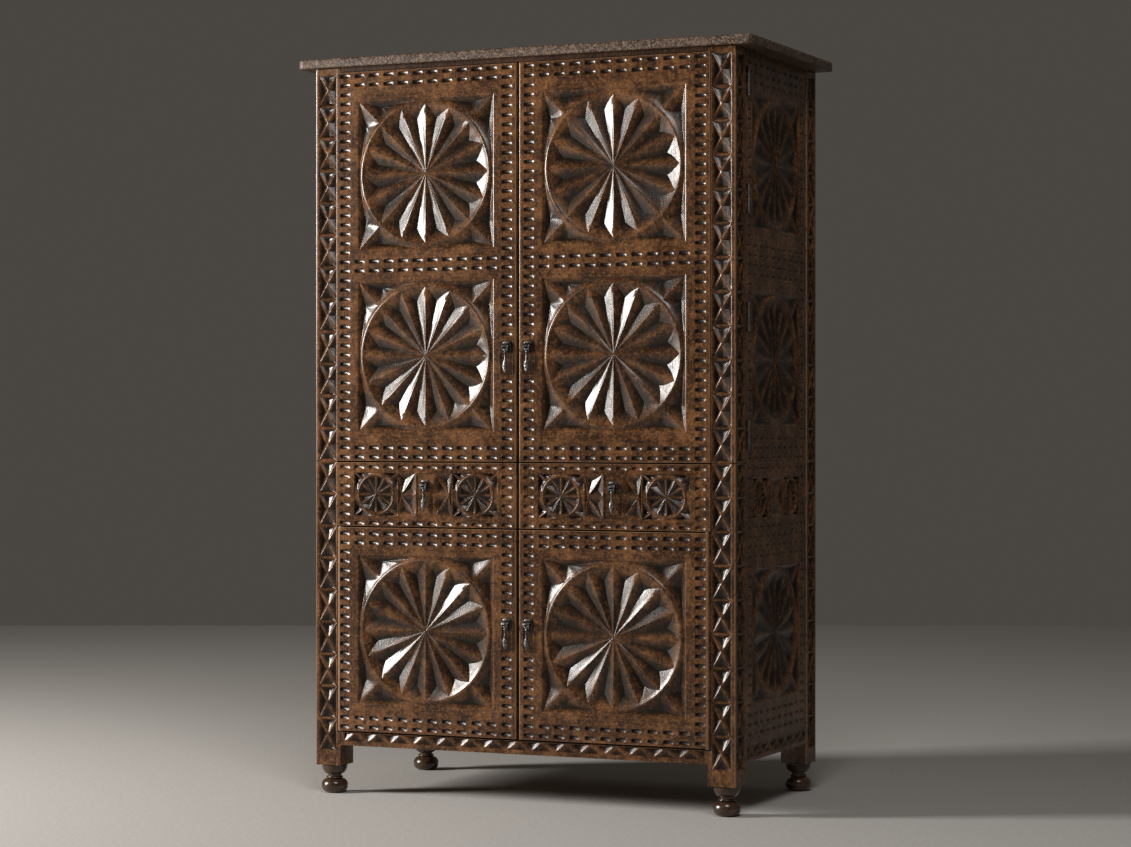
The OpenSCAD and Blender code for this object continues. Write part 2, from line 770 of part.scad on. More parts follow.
module drawer_divider() {
    t = divider_thickness / 2;
    color(walnut_inside) place()
        block([-t, stop_y, deck_top], [t, back_y - groove_gap, seam_height - board_thickness]);
}

// Aprons with a zigzag along the upper edge
module front_apron() {
    x = post_inner + groove_depth - groove_gap;
    length = 2 * (post_inner - zigzag_plain);
    color(walnut) place() difference() {
        block([-x, apron_recess, apron_bottom], [x, apron_recess + apron_thickness, apron_top]);
        on_face([-length / 2, apron_recess, apron_top - zigzag_height - 1], false)
            zigzag(length, zigzag_height, front_teeth, zigzag_depth);
    }
}

module side_aprons() {
    y0 = post_width - groove_depth + groove_gap;
    y1 = back_post_y + groove_depth - groove_gap;
    face = post_x - apron_recess;
    start = post_width + zigzag_plain;
    length = back_post_y - post_width - 2 * zigzag_plain;
    color(walnut) place() both_sides() difference() {
        block([face - apron_thickness, y0, apron_bottom], [face, y1, apron_top]);
        on_face([face, start, apron_top - zigzag_height - 1], true)
            zigzag(length, zigzag_height, side_teeth, zigzag_depth);
    }
}

// Runners: a rub strip by the divider, and a strip with a guide by the side
module drawer_runners() {
    length_y = back_y - groove_gap - 2;
    start_y = stop_y + 2;
    t = divider_thickness / 2;
    color(walnut_inside) place() both_sides() {
        block([t, start_y, deck_top], [t + runner_width, length_y, deck_top + runner_height]);
        block([guide_x - guide_thickness - runner_width, start_y, deck_top],
            [guide_x, length_y, deck_top + runner_height]);
        block([guide_x - guide_thickness, start_y, deck_top],
            [guide_x, length_y, deck_top + guide_height]);
    }
}

// Three loose shelves: the upper two start behind the hinges, the lower one passes the posts
module shelves() {
    gap = shelf_gap;
    x = shelf_inner_x;
    color(walnut_inside) place() for (i = [0:2]) let (low = shelf_z[i], high = low + board_thickness)
        difference() {
            block([-x, shelf_front[i], low], [x, back_y - gap, high]);
            both_sides() {
                block([post_inner - gap, 0, low - 1], [x + 1, post_width + gap, high + 1]);
                block([post_inner - gap, back_post_y - gap, low - 1], [x + 1, back_y + 1, high + 1]);
            }
        }
}

// Battens on the side panels carry the shelves
module shelf_battens() {
    x = side_inner - batten_thickness;
    color(walnut_inside) place() both_sides() for (i = [0:2])
        let (z = shelf_z[i], y0 = max(shelf_front[i], post_width + groove_gap))
            block([x, y0, z - batten_height], [side_inner, back_post_y - groove_gap, z]);
}

// Turned feet: a flattened ball, a thin ring, a neck and a cup under the post
foot_ball_top = 0.5 * foot_height;
foot_ring_z = 0.54 * foot_height;
foot_cup_z = 0.65 * foot_height;
foot_cup_rim = 3;

function arc(cx, cy, rx, ry, from, to, steps) = [for (i = [0:steps])
    let (a = from + (to - from) * i / steps) [cx + rx * cos(a), cy + ry * sin(a)]];

module feet() {
    ball_r = foot_ball_diameter / 2;
    neck_r = foot_neck_diameter / 2;
    ring_r = foot_ring_diameter / 2;
    cup_r = foot_cup_diameter / 2;
    ball_h = foot_ball_top / 2;
    ring_h = 0.04 * foot_height;
    round_x = 0.5 * ball_r;
    tenon_r = foot_tenon_diameter / 2;
    cup_top = foot_height - foot_cup_rim;
    profile = concat(
        [[0, 0], [round_x, 0]],
        arc(round_x, ball_h, ball_r - round_x, ball_h, -80, 60, 14),
        [[neck_r + 1, foot_ring_z - ring_h]],
        arc(neck_r, foot_ring_z, ring_r - neck_r, ring_h, -90, 90, 6),
        [[neck_r, foot_cup_z]],
        arc(neck_r, cup_top, cup_r - neck_r, cup_top - foot_cup_z, -70, 0, 8),
        [[cup_r, foot_height], [tenon_r, foot_height], [tenon_r, foot_height + foot_tenon_length - 1],
            [0, foot_height + foot_tenon_length - 1]]);
    color(walnut_dark) place() both_sides() for (y0 = [0, back_post_y])
        translate([post_x - post_width / 2, y0 + post_width / 2, 0]) rotate_extrude() polygon(profile);
}

// Pivots: a thin plate let into the post, with a pin that stands in the door's bush
lower_pivot_low = lower_door_bottom - pivot_gap - pivot_plate;
lower_pivot_high = lower_door_top + pivot_gap;
plate_end = rebate_x + 18;
plate_y = hinge_y + 3;

module plate_outline() {
    reach = min(plate_y + pivot_plate_width, stop_y - 0.2) - hinge_y;
    circle(d = pivot_plate_width);
    translate([0, plate_y - hinge_y]) square([plate_end - hinge_x, reach - plate_y + hinge_y]);
    translate([0, -pivot_plate_width / 2]) square([6, reach + pivot_plate_width / 2]);
}

module plate_slot(z) {
    translate([hinge_x, hinge_y, z]) linear_extrude(pivot_plate) plate_outline();
}

module pivot(z, up) {
    plate_slot(z);
    translate([hinge_x, hinge_y, up ? z + pivot_plate : z - pivot_length])
        cylinder(d = pivot_diameter, h = pivot_length);
}

module door_pivots() {
    color(steel) place() both_sides() {
        pivot(lower_pivot_low, true);
        pivot(lower_pivot_high, false);
    }
}

// Butt hinges of the upper doors. Their leaves lie in the seam and their barrels stand outside it.
// A hinge has five knuckles: the case holds three and the door two.
knuckle = hinge_height / 5;

// A leaf in the wood of the case (side 1) or of the door (side -1), with a little room as a cut
module leaf_plate(side, z, room) {
    near = side * seam_gap / 2;
    far = near + side * hinge_leaf;
    half = hinge_height / 2 + (room > 0 ? groove_gap : 0);
    y0 = hinge_seam + (side > 0 ? near - room : far);
    y1 = hinge_seam + (side > 0 ? far : near + room);
    block([side_face - hinge_leaf_width, y0, z - half], [side_face + room, y1, z + half]);
}

module knuckles(side, z, count) {
    first = count == 3 ? 0 : 1;
    r = hinge_barrel / 2;
    y0 = hinge_seam + (side > 0 ? seam_gap / 2 : -seam_gap / 2 - hinge_leaf);
    for (i = [0:count - 1]) {
        low = z - hinge_height / 2 + (first + 2 * i) * knuckle + knuckle_gap / 2;
        high = low + knuckle - knuckle_gap;
        translate([hinge_axis_x, hinge_seam, low]) cylinder(r = r, h = high - low);
        block([side_face - 1, y0, low], [hinge_axis_x, y0 + hinge_leaf, high]);
    }
}

module hinge_half(side, z, count, bore) {
    difference() {
        union() {
            leaf_plate(side, z, 0);
            knuckles(side, z, count);
        }
        translate([hinge_axis_x, hinge_seam, z - hinge_height]) cylinder(d = bore, h = 2 * hinge_height);
    }
}

module hinge_case_leaves() {
    color(hinge_steel) place() both_sides() for (z = hinge_z) hinge_half(1, z, 3, hinge_pin);
}

module hinge_door_leaves(side) {
    color(hinge_steel) place() only_side(side) for (z = hinge_z)
        hinge_half(-1, z, 2, hinge_pin + 2 * hinge_clearance);
}

module hinge_pins() {
    color(hinge_steel) place() both_sides() for (z = hinge_z)
        translate([hinge_axis_x, hinge_seam, z - hinge_height / 2]) cylinder(d = hinge_pin, h = hinge_height);
}

// Bushes: a flanged sleeve in each end of a door's hanging edge
bush_length = pivot_length + 2;

module bush_bores(low, high) {
    translate([hinge_x, hinge_y, low - 1]) cylinder(d = bush_diameter, h = bush_length + 1);
    translate([hinge_x, hinge_y, low - 1]) cylinder(d = bush_flange, h = bush_flange_thickness + 1);
    translate([hinge_x, hinge_y, high - bush_length]) cylinder(d = bush_diameter, h = bush_length + 1);
    translate([hinge_x, hinge_y, high - bush_flange_thickness])
        cylinder(d = bush_flange, h = bush_flange_thickness + 1);
}

module bush() {
    bore = pivot_diameter + 2 * pivot_clearance;
    difference() {
        union() {
            cylinder(d = bush_diameter, h = bush_length);
            cylinder(d = bush_flange, h = bush_flange_thickness);
        }
        translate([0, 0, -1]) cylinder(d = bore, h = bush_length + 2);
    }
}

module bushes(side, low, high) {
    color(bush_brass) place() only_side(side) {
        translate([hinge_x, hinge_y, low]) bush();
        translate([hinge_x, hinge_y, high]) mirror([0, 0, 1]) bush();
    }
}

// Plan of a front: round at the hanging edge, eased where the fronts meet
module front_outline(round_hinge) {
    r = meeting_radius;
    outer = round_hinge ? hinge_x : front_edge;
    translate([meeting_edge + r, -front_proud]) square([outer - meeting_edge - r, front_thickness]);
    translate([meeting_edge, r - front_proud]) square([2 * r, front_thickness - r]);
    translate([meeting_edge + r, r - front_proud]) circle(r = r);
    if (round_hinge) translate([hinge_x, hinge_y]) circle(r = hinge_radius);
}

// The opening for a panel, with a rebate behind for the panel's lip
module panel_opening(z, height) {
    w = panel_width / 2;
    h = height / 2;
    lip = panel_lip + panel_gap;
    block([front_middle - w, -front_proud - 1, z - h], [front_middle + w, front_back_y + 1, z + h]);
    block([front_middle - w - lip, lip_y, z - h - lip],
        [front_middle + w + lip, front_back_y + 1, z + h + lip]);
}

panel_front_y = carve_lip - front_proud;
lip_y = panel_front_y + carve_depth + 1;

module panel(z, height) {
    w = panel_width / 2 - panel_gap;
    h = height / 2 - panel_gap;
    back = min(panel_front_y + panel_thickness, front_back_y);
    carve_rosette([front_middle, panel_front_y, z], false, 2 * w - 1, 2 * h - 1, petals,
        carve_depth - 1, ring_width) union() {
            block([front_middle - w, panel_front_y, z - h], [front_middle + w, back, z + h]);
            block([front_middle - w - panel_lip, lip_y, z - h - panel_lip],
                [front_middle + w + panel_lip, back, z + h + panel_lip]);
        }
}

module door_leaf(low, high, panels, panel_height, round_hinge) {
    difference() {
        translate([0, 0, low]) linear_extrude(high - low) front_outline(round_hinge);
        for (z = panels) panel_opening(z, panel_height);
    }
}

upper_middle = (upper_door_bottom + upper_door_top) / 2;
upper_panels = [for (s = [-1, 1]) upper_middle + s * (upper_panel_height + middle_rail) / 2];
lower_panels = [(lower_door_bottom + lower_door_top) / 2];

module upper_door(side) {
    color(walnut) place() only_side(side)
        door_leaf(upper_door_bottom, upper_door_top, upper_panels, upper_panel_height, false);
}

module lower_door(side) {
    color(walnut) place() only_side(side) difference() {
        door_leaf(lower_door_bottom, lower_door_top, lower_panels, lower_panel_height, true);
        bush_bores(lower_door_bottom, lower_door_top);
    }
}

module door_panels(side, panels, panel_height) {
    color(walnut) place() only_side(side) for (z = panels) panel(z, panel_height);
}

// Drawer front: rosette, half star, plain panel, half star, rosette
drawer_middle_z = (drawer_bottom_z + drawer_top_z) / 2;

module drawer_rosette(s) {
    x = front_middle + s * (pull_panel_width / 2 + star_width + drawer_rosette_width / 2 + 1);
    carve_rosette([x, -front_proud, drawer_middle_z], false, drawer_rosette_width - 2, drawer_band_height,
        small_petals, shallow_carve_depth, small_ring) children();
}

module drawer_front(side) {
    star_x = pull_panel_width / 2;
    groove_z = drawer_floor_z + drawer_groove_rise;
    color(walnut) place() only_side(side) drawer_rosette(-1) drawer_rosette(1) difference() {
        translate([0, 0, drawer_bottom_z]) linear_extrude(drawer_front_height) front_outline(false);
        on_face([front_middle, -front_proud, drawer_middle_z], false) {
            for (s = [0, 1]) mirror([s, 0, 0]) translate([star_x + star_width - 1, 0, 0]) mirror([1, 0, 0])
                half_star(star_width - 2, drawer_band_height, shallow_carve_depth);
            translate([1 - star_x, -drawer_band_height / 2, -pull_panel_depth])
                cube([pull_panel_width - 2, drawer_band_height, pull_panel_depth + lift]);
        }
        block([drawer_inner_x + drawer_wall / 2, front_back_y - 6, groove_z],
            [drawer_outer_x - drawer_wall / 2, front_back_y + 1, groove_z + drawer_bottom_thickness]);
    }
}

// Sides and back of a drawer, with a groove for the bottom
module drawer_box(side) {
    end_y = front_back_y + drawer_box_depth;
    groove_z = drawer_floor_z + drawer_groove_rise;
    color(walnut_inside) place() only_side(side) difference() {
        block([drawer_inner_x, front_back_y, drawer_floor_z], [drawer_outer_x, end_y, drawer_roof_z]);
        block([drawer_inner_x + drawer_wall, front_back_y - 1, drawer_floor_z - 1],
            [drawer_outer_x - drawer_wall, end_y - drawer_wall, drawer_roof_z + 1]);
        block([drawer_inner_x + drawer_wall / 2, front_back_y - 1, groove_z],
            [drawer_outer_x - drawer_wall / 2, end_y - drawer_wall / 2, groove_z + drawer_bottom_thickness]);
    }
}

module drawer_bottom(side) {
    groove_z = drawer_floor_z + drawer_groove_rise;
    gap = groove_gap;
    color(walnut_inside) place() only_side(side)
        block([drawer_inner_x + drawer_wall / 2 + gap, front_back_y - 6 + gap, groove_z],
            [drawer_outer_x - drawer_wall / 2 - gap, front_back_y + drawer_box_depth - drawer_wall / 2 - gap,
                groove_z + drawer_bottom_thickness]);
}

// Pulls: a plate with two ears and an axle, and a drop that swings on it.
// The origin is where the axis meets the plane of the front.
module pull_plate_shape() {
    w = pull_plate_width / 2;
    t = pull_plate_thickness;
    gap = pull_ear_spacing / 2;
    ear = gap + pull_ear_thickness;
    r = pull_ear_radius;
    block([-w, -pull_plate_drop, 0], [w, pull_plate_rise, t]);
    for (s = [0, 1]) mirror([s, 0, 0]) {
        block([gap, -r, t - 1], [ear, r, pull_axis_out]);
        translate([gap, 0, pull_axis_out]) rotate([0, 90, 0]) cylinder(r = r, h = pull_ear_thickness);
    }
    hood_z = 2 * r + 1;
    block([-ear, r, t - 1], [ear, hood_z, pull_axis_out - 1]);
    translate([-ear, r, pull_axis_out - r]) cube([2 * ear, hood_z - r, r + 3]);
    translate([-ear, 0, pull_axis_out]) rotate([0, 90, 0]) cylinder(d = pull_axle_diameter, h = 2 * ear);
    translate([0, (pull_plate_rise + hood_z) / 2, t]) sphere(r = 2);
}

// Half the width of the leaf at a share t of its length
function leaf_half(t) = pull_leaf_width / 2 * pow(sin(180 * pow(t, 1.15)), 0.8) + 0.8 * (1 - t);

module drop_shape() {
    steps = 14;
    width = pull_ear_spacing - 2 * pull_side_gap;
    leaf_top = -pull_stem_length;
    bore = pull_axle_diameter / 2 + pivot_clearance;
    down = [for (i = [0:steps]) [leaf_half(i / steps), leaf_top - pull_leaf_length * i / steps]];
    up = [for (i = [steps:-1:0]) [-leaf_half(i / steps), leaf_top - pull_leaf_length * i / steps]];
    translate([0, 0, pull_axis_out]) {
        difference() {
            union() {
                translate([-width / 2, 0, 0]) rotate([0, 90, 0]) cylinder(r = pull_eye_radius, h = width);
                translate([0, leaf_top - 2, 0]) rotate([-90, 0, 0])
                    cylinder(d = pull_stem_diameter, h = pull_stem_length + 2);
                translate([0, -pull_eye_radius - 2, 0]) sphere(r = 0.75 * pull_stem_diameter);
                translate([0, 0, -pull_leaf_thickness / 2]) linear_extrude(pull_leaf_thickness)
                    polygon(concat(down, up));
            }
            translate([-width / 2 - 1, 0, 0]) rotate([0, 90, 0]) cylinder(r = bore, h = width + 2);
        }
    }
}

// Where the axis of each pull meets the front it hangs on
upper_pull = [meeting_edge + pull_inset, -front_proud, upper_door_bottom + pull_height];
lower_pull = [meeting_edge + pull_inset, -front_proud, lower_door_bottom + pull_height];
drawer_pull = [front_middle, pull_panel_depth - front_proud, drawer_middle_z + drawer_pull_rise];

module pull_plate(side, at) {
    color(black_iron) place() only_side(side) on_face(at, false) pull_plate_shape();
}

module pull_drop(side, at) {
    color(black_iron) place() only_side(side) on_face(at, false) drop_shape();
}

top_slab();
top_rail();
upper_back_post(-1);  // upper_post_back_left
upper_back_post(1);  // upper_post_back_right
lower_post(-1, true);  // lower_post_front_left
lower_post(1, true);  // lower_post_front_right
lower_post(-1, false);  // lower_post_back_left
lower_post(1, false);  // lower_post_back_right
upper_side(-1);  // upper_side_left
upper_side(1);  // upper_side_right
lower_side(-1);  // lower_side_left
lower_side(1);  // lower_side_right
back_boards();
case_floors();
case_decks();
drawer_divider();
front_apron();
side_aprons();
drawer_runners();
shelves();
shelf_battens();
feet();
case_dowels();
door_pivots();
hinge_case_leaves();
hinge_pins();
upper_door(-1);  // upper_left_door
door_panels(-1, upper_panels, upper_panel_height);  // upper_left_panels
upper_front_post(-1);  // upper_post_front_left
door_stile(-1);  // upper_left_stile
hinge_door_leaves(-1);  // upper_left_hinge_leaves
pull_plate(-1, upper_pull);  // upper_left_pull_plate
pull_drop(-1, upper_pull);  // upper_left_drop
upper_door(1);  // upper_right_door
door_panels(1, upper_panels, upper_panel_height);  // upper_right_panels
upper_front_post(1);  // upper_post_front_right
door_stile(1);  // upper_right_stile
hinge_door_leaves(1);  // upper_right_hinge_leaves
pull_plate(1, upper_pull);  // upper_right_pull_plate
pull_drop(1, upper_pull);  // upper_right_drop
lower_door(-1);  // lower_left_door
door_panels(-1, lower_panels, lower_panel_height);  // lower_left_panel
bushes(-1, lower_door_bottom, lower_door_top);  // lower_left_bushes
pull_plate(-1, lower_pull);  // lower_left_pull_plate
pull_drop(-1, lower_pull);  // lower_left_drop
lower_door(1);  // lower_right_door
door_panels(1, lower_panels, lower_panel_height);  // lower_right_panel
bushes(1, lower_door_bottom, lower_door_top);  // lower_right_bushes
pull_plate(1, lower_pull);  // lower_right_pull_plate
pull_drop(1, lower_pull);  // lower_right_drop
drawer_front(-1);  // left_drawer_front
drawer_box(-1);  // left_drawer_box
drawer_bottom(-1);  // left_drawer_bottom
pull_plate(-1, drawer_pull);  // left_drawer_pull_plate
pull_drop(-1, drawer_pull);  // left_drawer_drop
drawer_front(1);  // right_drawer_front
drawer_box(1);  // right_drawer_box
drawer_bottom(1);  // right_drawer_bottom
pull_plate(1, drawer_pull);  // right_drawer_pull_plate
pull_drop(1, drawer_pull);  // right_drawer_drop
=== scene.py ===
"""Looks of the carved bar cabinet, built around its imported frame."""

import json
import logging
import math
from collections.abc import Callable, Iterable, Sequence
from dataclasses import dataclass, field
from enum import Enum, IntEnum, auto

import bmesh
import bpy
from mathutils import Matrix, Vector, geometry, kdtree, noise

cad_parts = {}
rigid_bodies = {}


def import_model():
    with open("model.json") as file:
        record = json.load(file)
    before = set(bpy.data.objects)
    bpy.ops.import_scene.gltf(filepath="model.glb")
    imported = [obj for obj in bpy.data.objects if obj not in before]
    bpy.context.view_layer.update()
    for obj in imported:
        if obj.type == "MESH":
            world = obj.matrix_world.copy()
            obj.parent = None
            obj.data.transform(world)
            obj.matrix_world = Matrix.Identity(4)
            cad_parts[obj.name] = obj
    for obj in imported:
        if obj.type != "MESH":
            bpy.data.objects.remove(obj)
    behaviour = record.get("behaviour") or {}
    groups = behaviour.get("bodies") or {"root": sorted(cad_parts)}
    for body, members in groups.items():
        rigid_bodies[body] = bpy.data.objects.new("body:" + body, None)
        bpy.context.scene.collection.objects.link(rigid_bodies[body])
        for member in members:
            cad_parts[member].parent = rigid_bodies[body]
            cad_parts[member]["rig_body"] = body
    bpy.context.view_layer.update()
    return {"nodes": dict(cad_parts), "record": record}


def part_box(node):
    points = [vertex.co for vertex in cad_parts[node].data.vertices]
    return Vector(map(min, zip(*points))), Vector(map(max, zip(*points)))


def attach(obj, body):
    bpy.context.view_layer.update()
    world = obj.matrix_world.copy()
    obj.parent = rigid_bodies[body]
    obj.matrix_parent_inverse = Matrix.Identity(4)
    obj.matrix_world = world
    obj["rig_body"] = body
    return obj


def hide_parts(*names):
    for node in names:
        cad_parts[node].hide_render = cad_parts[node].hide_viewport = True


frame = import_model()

LOG = logging.getLogger("bar_cabinet")
MM = 0.001  # metres; every other length below is in mm
UP = Vector((0, 0, 1))
WELD = 0.02  # corners that lie closer together than this are one
RIDGE_ANGLE = 0.28  # a carved edge that turns less than this many radians isn't blunted
ROUND_TURNS = [math.radians(18 * k) for k in range(6)]
Pair = tuple[float, float]
Point = tuple[float, float, float]
Colour = tuple[float, float, float]
Box = tuple[float, float, float, float]  # left, right, bottom and top edge
Socket = bpy.types.NodeSocket
Sides = list[list[Point]]  # bottom, right, top and left side, counterclockwise, corners included


class Cut(IntEnum):
    """How a face of the wood was made."""

    PLAIN = 0
    GOUGE = 1
    FACET = 2
    ROUND = 3
    # Arris faces are painted pale: partly rubbing, partly painted highlight.
    ARRIS = 4
    BACK = 5


FLAT_CUTS = (Cut.PLAIN, Cut.ARRIS, Cut.BACK)


class Case(Enum):
    """One of the two stacked cases, with its word in names."""

    UPPER = "upper"
    LOWER = "lower"


class Axis(Enum):
    """The direction of a lathe."""

    X = auto()
    Z = auto()


def side_word(hand: int) -> str:
    """The side's word in names, for hand 1 (right) or -1 (left)."""
    return "right" if hand > 0 else "left"


def lerp(a: Point, b: Point, t: float) -> Point:
    """The point at share t of the way from a to b."""
    return tuple(p + (q - p) * t for p, q in zip(a, b))


def on_circle(radius: float, angle: float, w: float) -> Point:
    """A point on a circle about the origin, with the angle in degrees."""
    turn = math.radians(angle)
    return (radius * math.cos(turn), radius * math.sin(turn), w)


def arc(middle: Pair, radii: Pair, start: float, step: float, count: int) -> list[Pair]:
    """Points on a round or oval arc, from one angle on by equal steps, in degrees."""
    turns = [math.radians(start + step * k) for k in range(count)]
    return [(middle[0] + radii[0] * math.cos(t), middle[1] + radii[1] * math.sin(t)) for t in turns]


def add_object(name: str, data: bpy.types.ID) -> bpy.types.Object:
    """Add an object to the scene."""
    made = bpy.data.objects.new(name, data)
    bpy.context.scene.collection.objects.link(made)
    return made


def node_box(name: str) -> tuple[Vector, Vector]:
    """Lowest and highest corner of a CAD node in mm."""
    low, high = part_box(name)
    return low / MM, high / MM


# Materials


class NodeTree:
    """A node tree under construction."""

    def __init__(self, tree: bpy.types.NodeTree) -> None:
        """Take up a tree."""
        self.tree = tree

    def feed(self, socket: Socket, value: object) -> None:
        """Link an output to an input socket, or set the input's value."""
        if isinstance(value, Socket):
            self.tree.links.new(value, socket)
        else:
            socket.default_value = value

    def node(self, kind: str, inputs: dict | None = None, **settings: object) -> bpy.types.Node:
        """Add a node.

        Args:
            kind: Blender's name of the node type.
            inputs: Values or output sockets by input name or number.
            **settings: Properties of the node.

        Returns:
            The new node.
        """
        made = self.tree.nodes.new(kind)
        for key, value in settings.items():
            setattr(made, key, value)
        for key, value in (inputs or {}).items():
            self.feed(made.inputs[key], value)
        return made


class Shader(NodeTree):
    """A node material under construction."""

    def __init__(self, name: str) -> None:
        """Start a material with its output and a Principled shader.

        Args:
            name: Name of the material.
        """
        self.material = bpy.data.materials.new(name)
        self.material.use_nodes = True
        super().__init__(self.material.node_tree)
        self.tree.nodes.clear()
        self.surface = self.node("ShaderNodeBsdfPrincipled")
        self.node("ShaderNodeOutputMaterial", {"Surface": self.surface.outputs[0]})

    def math(self, operation: str, a: object, b: object) -> Socket:
        """The result of an operation on two values, held between 0 and 1."""
        return self.node("ShaderNodeMath", {0: a, 1: b}, operation=operation, use_clamp=True).outputs[0]

    def mix(self, share: object, a: object, b: object) -> Socket:
        """A colour between a and b."""
        return self.node("ShaderNodeMix", {0: share, 6: a, 7: b}, data_type="RGBA").outputs[2]

    def noise(self, vector: object, scale: float, detail: float = 4.0, rough: float = 0.55) -> Socket:
        """The value of a noise texture."""
        values = {"Vector": vector, "Scale": scale, "Detail": detail, "Roughness": rough}
        return self.node("ShaderNodeTexNoise", values).outputs[0]

    def ramp(self, value: object, low: float, high: float) -> Socket:
        """The value stretched from the range low to high onto 0 to 1, with smooth ends."""
        sockets = {"Value": value, "From Min": low, "From Max": high}
        return self.node("ShaderNodeMapRange", sockets, interpolation_type="SMOOTHSTEP").outputs[0]

    def share(self, value: object, low: float, high: float, most: float) -> Socket:
        """The value stretched from the range low to high onto 0 to most."""
        return self.math("MULTIPLY", self.ramp(value, low, high), most)

    def attribute(self, name: str) -> Socket:
        """A number that the mesh carries."""
        return self.node("ShaderNodeAttribute", attribute_name=name).outputs["Fac"]

    def stretched(self, scale: Point) -> Socket:
        """Object coordinates stretched along the axes."""
        place = self.node("ShaderNodeTexCoord").outputs["Object"]
        return self.node("ShaderNodeMapping", {"Vector": place, "Scale": scale}).outputs[0]

    def set(self, **values: object) -> None:
        """Set or link inputs of the Principled shader, with _ for a space in their names."""
        for key, value in values.items():
            self.feed(self.surface.inputs[key.replace("_", " ")], value)

    def bump(self, height: object, strength: float, distance: float) -> None:
        """Put a bump on the surface."""
        values = {"Height": height, "Strength": strength, "Distance": distance}
        self.set(Normal=self.node("ShaderNodeBump", values).outputs[0])


class WoodTextures:
    """The noise textures that a wooden surface is mixed from."""

    def __init__(self, shader: Shader, width: float, length: float) -> None:
        """Lay the grain upright, or across where the mesh has a rail.

        Args:
            shader: Tree to build in.
            width: Width of the grain, in metres.
            length: Length of the grain, in metres.
        """
        fine, long = 1 / width, 1 / length
        upright = shader.stretched((fine, fine, long))
        across = shader.stretched((long, long, fine))
        rail = shader.attribute("rail")
        lay = shader.node("ShaderNodeMix", {0: rail, 4: upright, 5: across}, data_type="VECTOR").outputs[1]
        self.place = shader.stretched((1, 1, 1))
        self.grain = shader.noise(lay, 1.0, 7.0, 0.62)
        self.pores = shader.noise(lay, 4.3, 3.0, 0.7)
        self.stain = shader.noise(self.place, 14.0, 5.0, 0.6)
        self.blotch = shader.noise(self.place, 66.0, 6.0, 0.72)
        self.mottle = shader.noise(self.place, 165.0, 4.0, 0.65)
        self.specks = shader.noise(self.place, 330.0, 4.0, 0.7)


@dataclass(frozen=True)
class WoodFinish:
    """Waxed wood: grain, stains, dark glazing in the cuts that is partly painted shade, and pale rubbed edges that
    are partly painted highlight.
    """

    name: str
    dark: Colour
    middle: Colour
    light: Colour
    # Near-black of the real dark specks, and of the glazing in the cuts, which also stands for painted shade in the
    # recesses.
    glazing_shade_colour: Colour = (0.006, 0.0035, 0.002)
    # Pale tone of the real flecks and rubbed ridges, which on the arrises also stands for a painted highlight.
    pale_rub_and_highlight: Colour = (0.26, 0.15, 0.085)
    roughness: float = 0.25
    gloss: float = 0.0
    grain_width: float = 0.0035
    grain_length: float = 0.09
    relief: float = 0.5
    flecks: float = 0.0
    shine: float = 0.36

    def material(self) -> bpy.types.Material:
        """Build the finish.

        Returns:
            The material.
        """
        shader = Shader(self.name)
        look = WoodTextures(shader, self.grain_width, self.grain_length)
        wood = self.aged(shader, look, self.fresh(shader, look))
        matt = shader.share(look.blotch, 0.42, 0.70, 0.08)
        rough = shader.math("ADD", matt, shader.math("MULTIPLY", look.specks, 0.10))
        rough = shader.math("ADD", rough, self.roughness - 0.06)
        grain, pores = shader.math("MULTIPLY", look.grain, 0.5), shader.math("MULTIPLY", look.pores, 0.15)
        height = shader.math("ADD", grain, pores)
        height = shader.math("ADD", height, shader.math("MULTIPLY", look.blotch, 0.5))
        shader.set(Base_Color=wood, Roughness=rough, Specular_IOR_Level=self.shine, Coat_Weight=self.gloss,
                   Coat_Roughness=0.20)
        shader.bump(height, self.relief, 0.0009)
        return shader.material

    def fresh(self, shader: Shader, look: WoodTextures) -> Socket:
        """The grain's colour, with paler stains and darker pores, soot, dirt and flecks over it."""
        dark, middle, light, pale_rub_and_highlight = ((*colour, 1) for colour in (self.dark, self.middle, self.light, self.pale_rub_and_highlight))
        wood = shader.mix(shader.ramp(look.grain, 0.38, 0.60), dark, middle)
        stain, mottle = shader.share(look.stain, 0.42, 0.64, 0.55), shader.share(look.mottle, 0.45, 0.64, 0.6)
        wood = shader.mix(shader.math("ADD", stain, mottle), wood, light)
        wood = shader.mix(shader.ramp(look.pores, 0.50, 0.72), wood, dark)
        wood = shader.mix(shader.share(look.blotch, 0.48, 0.64, 0.8), wood, dark)
        wood = shader.mix(shader.share(look.specks, 0.53, 0.64, 0.85), wood, (*self.glazing_shade_colour, 1))
        flecks = shader.share(shader.noise(look.place, 210.0, 5.0, 0.7), 0.49, 0.58, self.flecks)
        return shader.mix(flecks, wood, pale_rub_and_highlight)

    def aged(self, shader: Shader, look: WoodTextures, wood: Socket) -> Socket:
        """The wood's colour with glazing that darkens the cuts by depth, partly real glazing and partly painted
        shade, and with the ridges and arrises paled as rubbed wood and painted highlight.
        """
        glazing_and_shade = shader.attribute("glazing_and_shade")
        spread = shader.share(look.blotch, 0.30, 0.70, 0.5)
        depth = shader.math("ADD", glazing_and_shade, shader.math("MULTIPLY", spread, glazing_and_shade))
        # Painted shade: the deeper a point sits in a cut, the nearer its colour goes to near-black; partly real
        # glazing, partly shade painted in.
        wood = shader.mix(shader.share(depth, 0.15, 1.05, 0.95), wood, (*self.glazing_shade_colour, 1))
        # Painted highlight: blunted ridges and rounded arrises are paled, partly as real rubbing, partly as a
        # painted highlight.
        wear = shader.math("MULTIPLY", shader.attribute("wear"), shader.ramp(look.blotch, 0.30, 0.52))
        return shader.mix(shader.math("MULTIPLY", wear, 0.75), wood, (*self.pale_rub_and_highlight, 1))


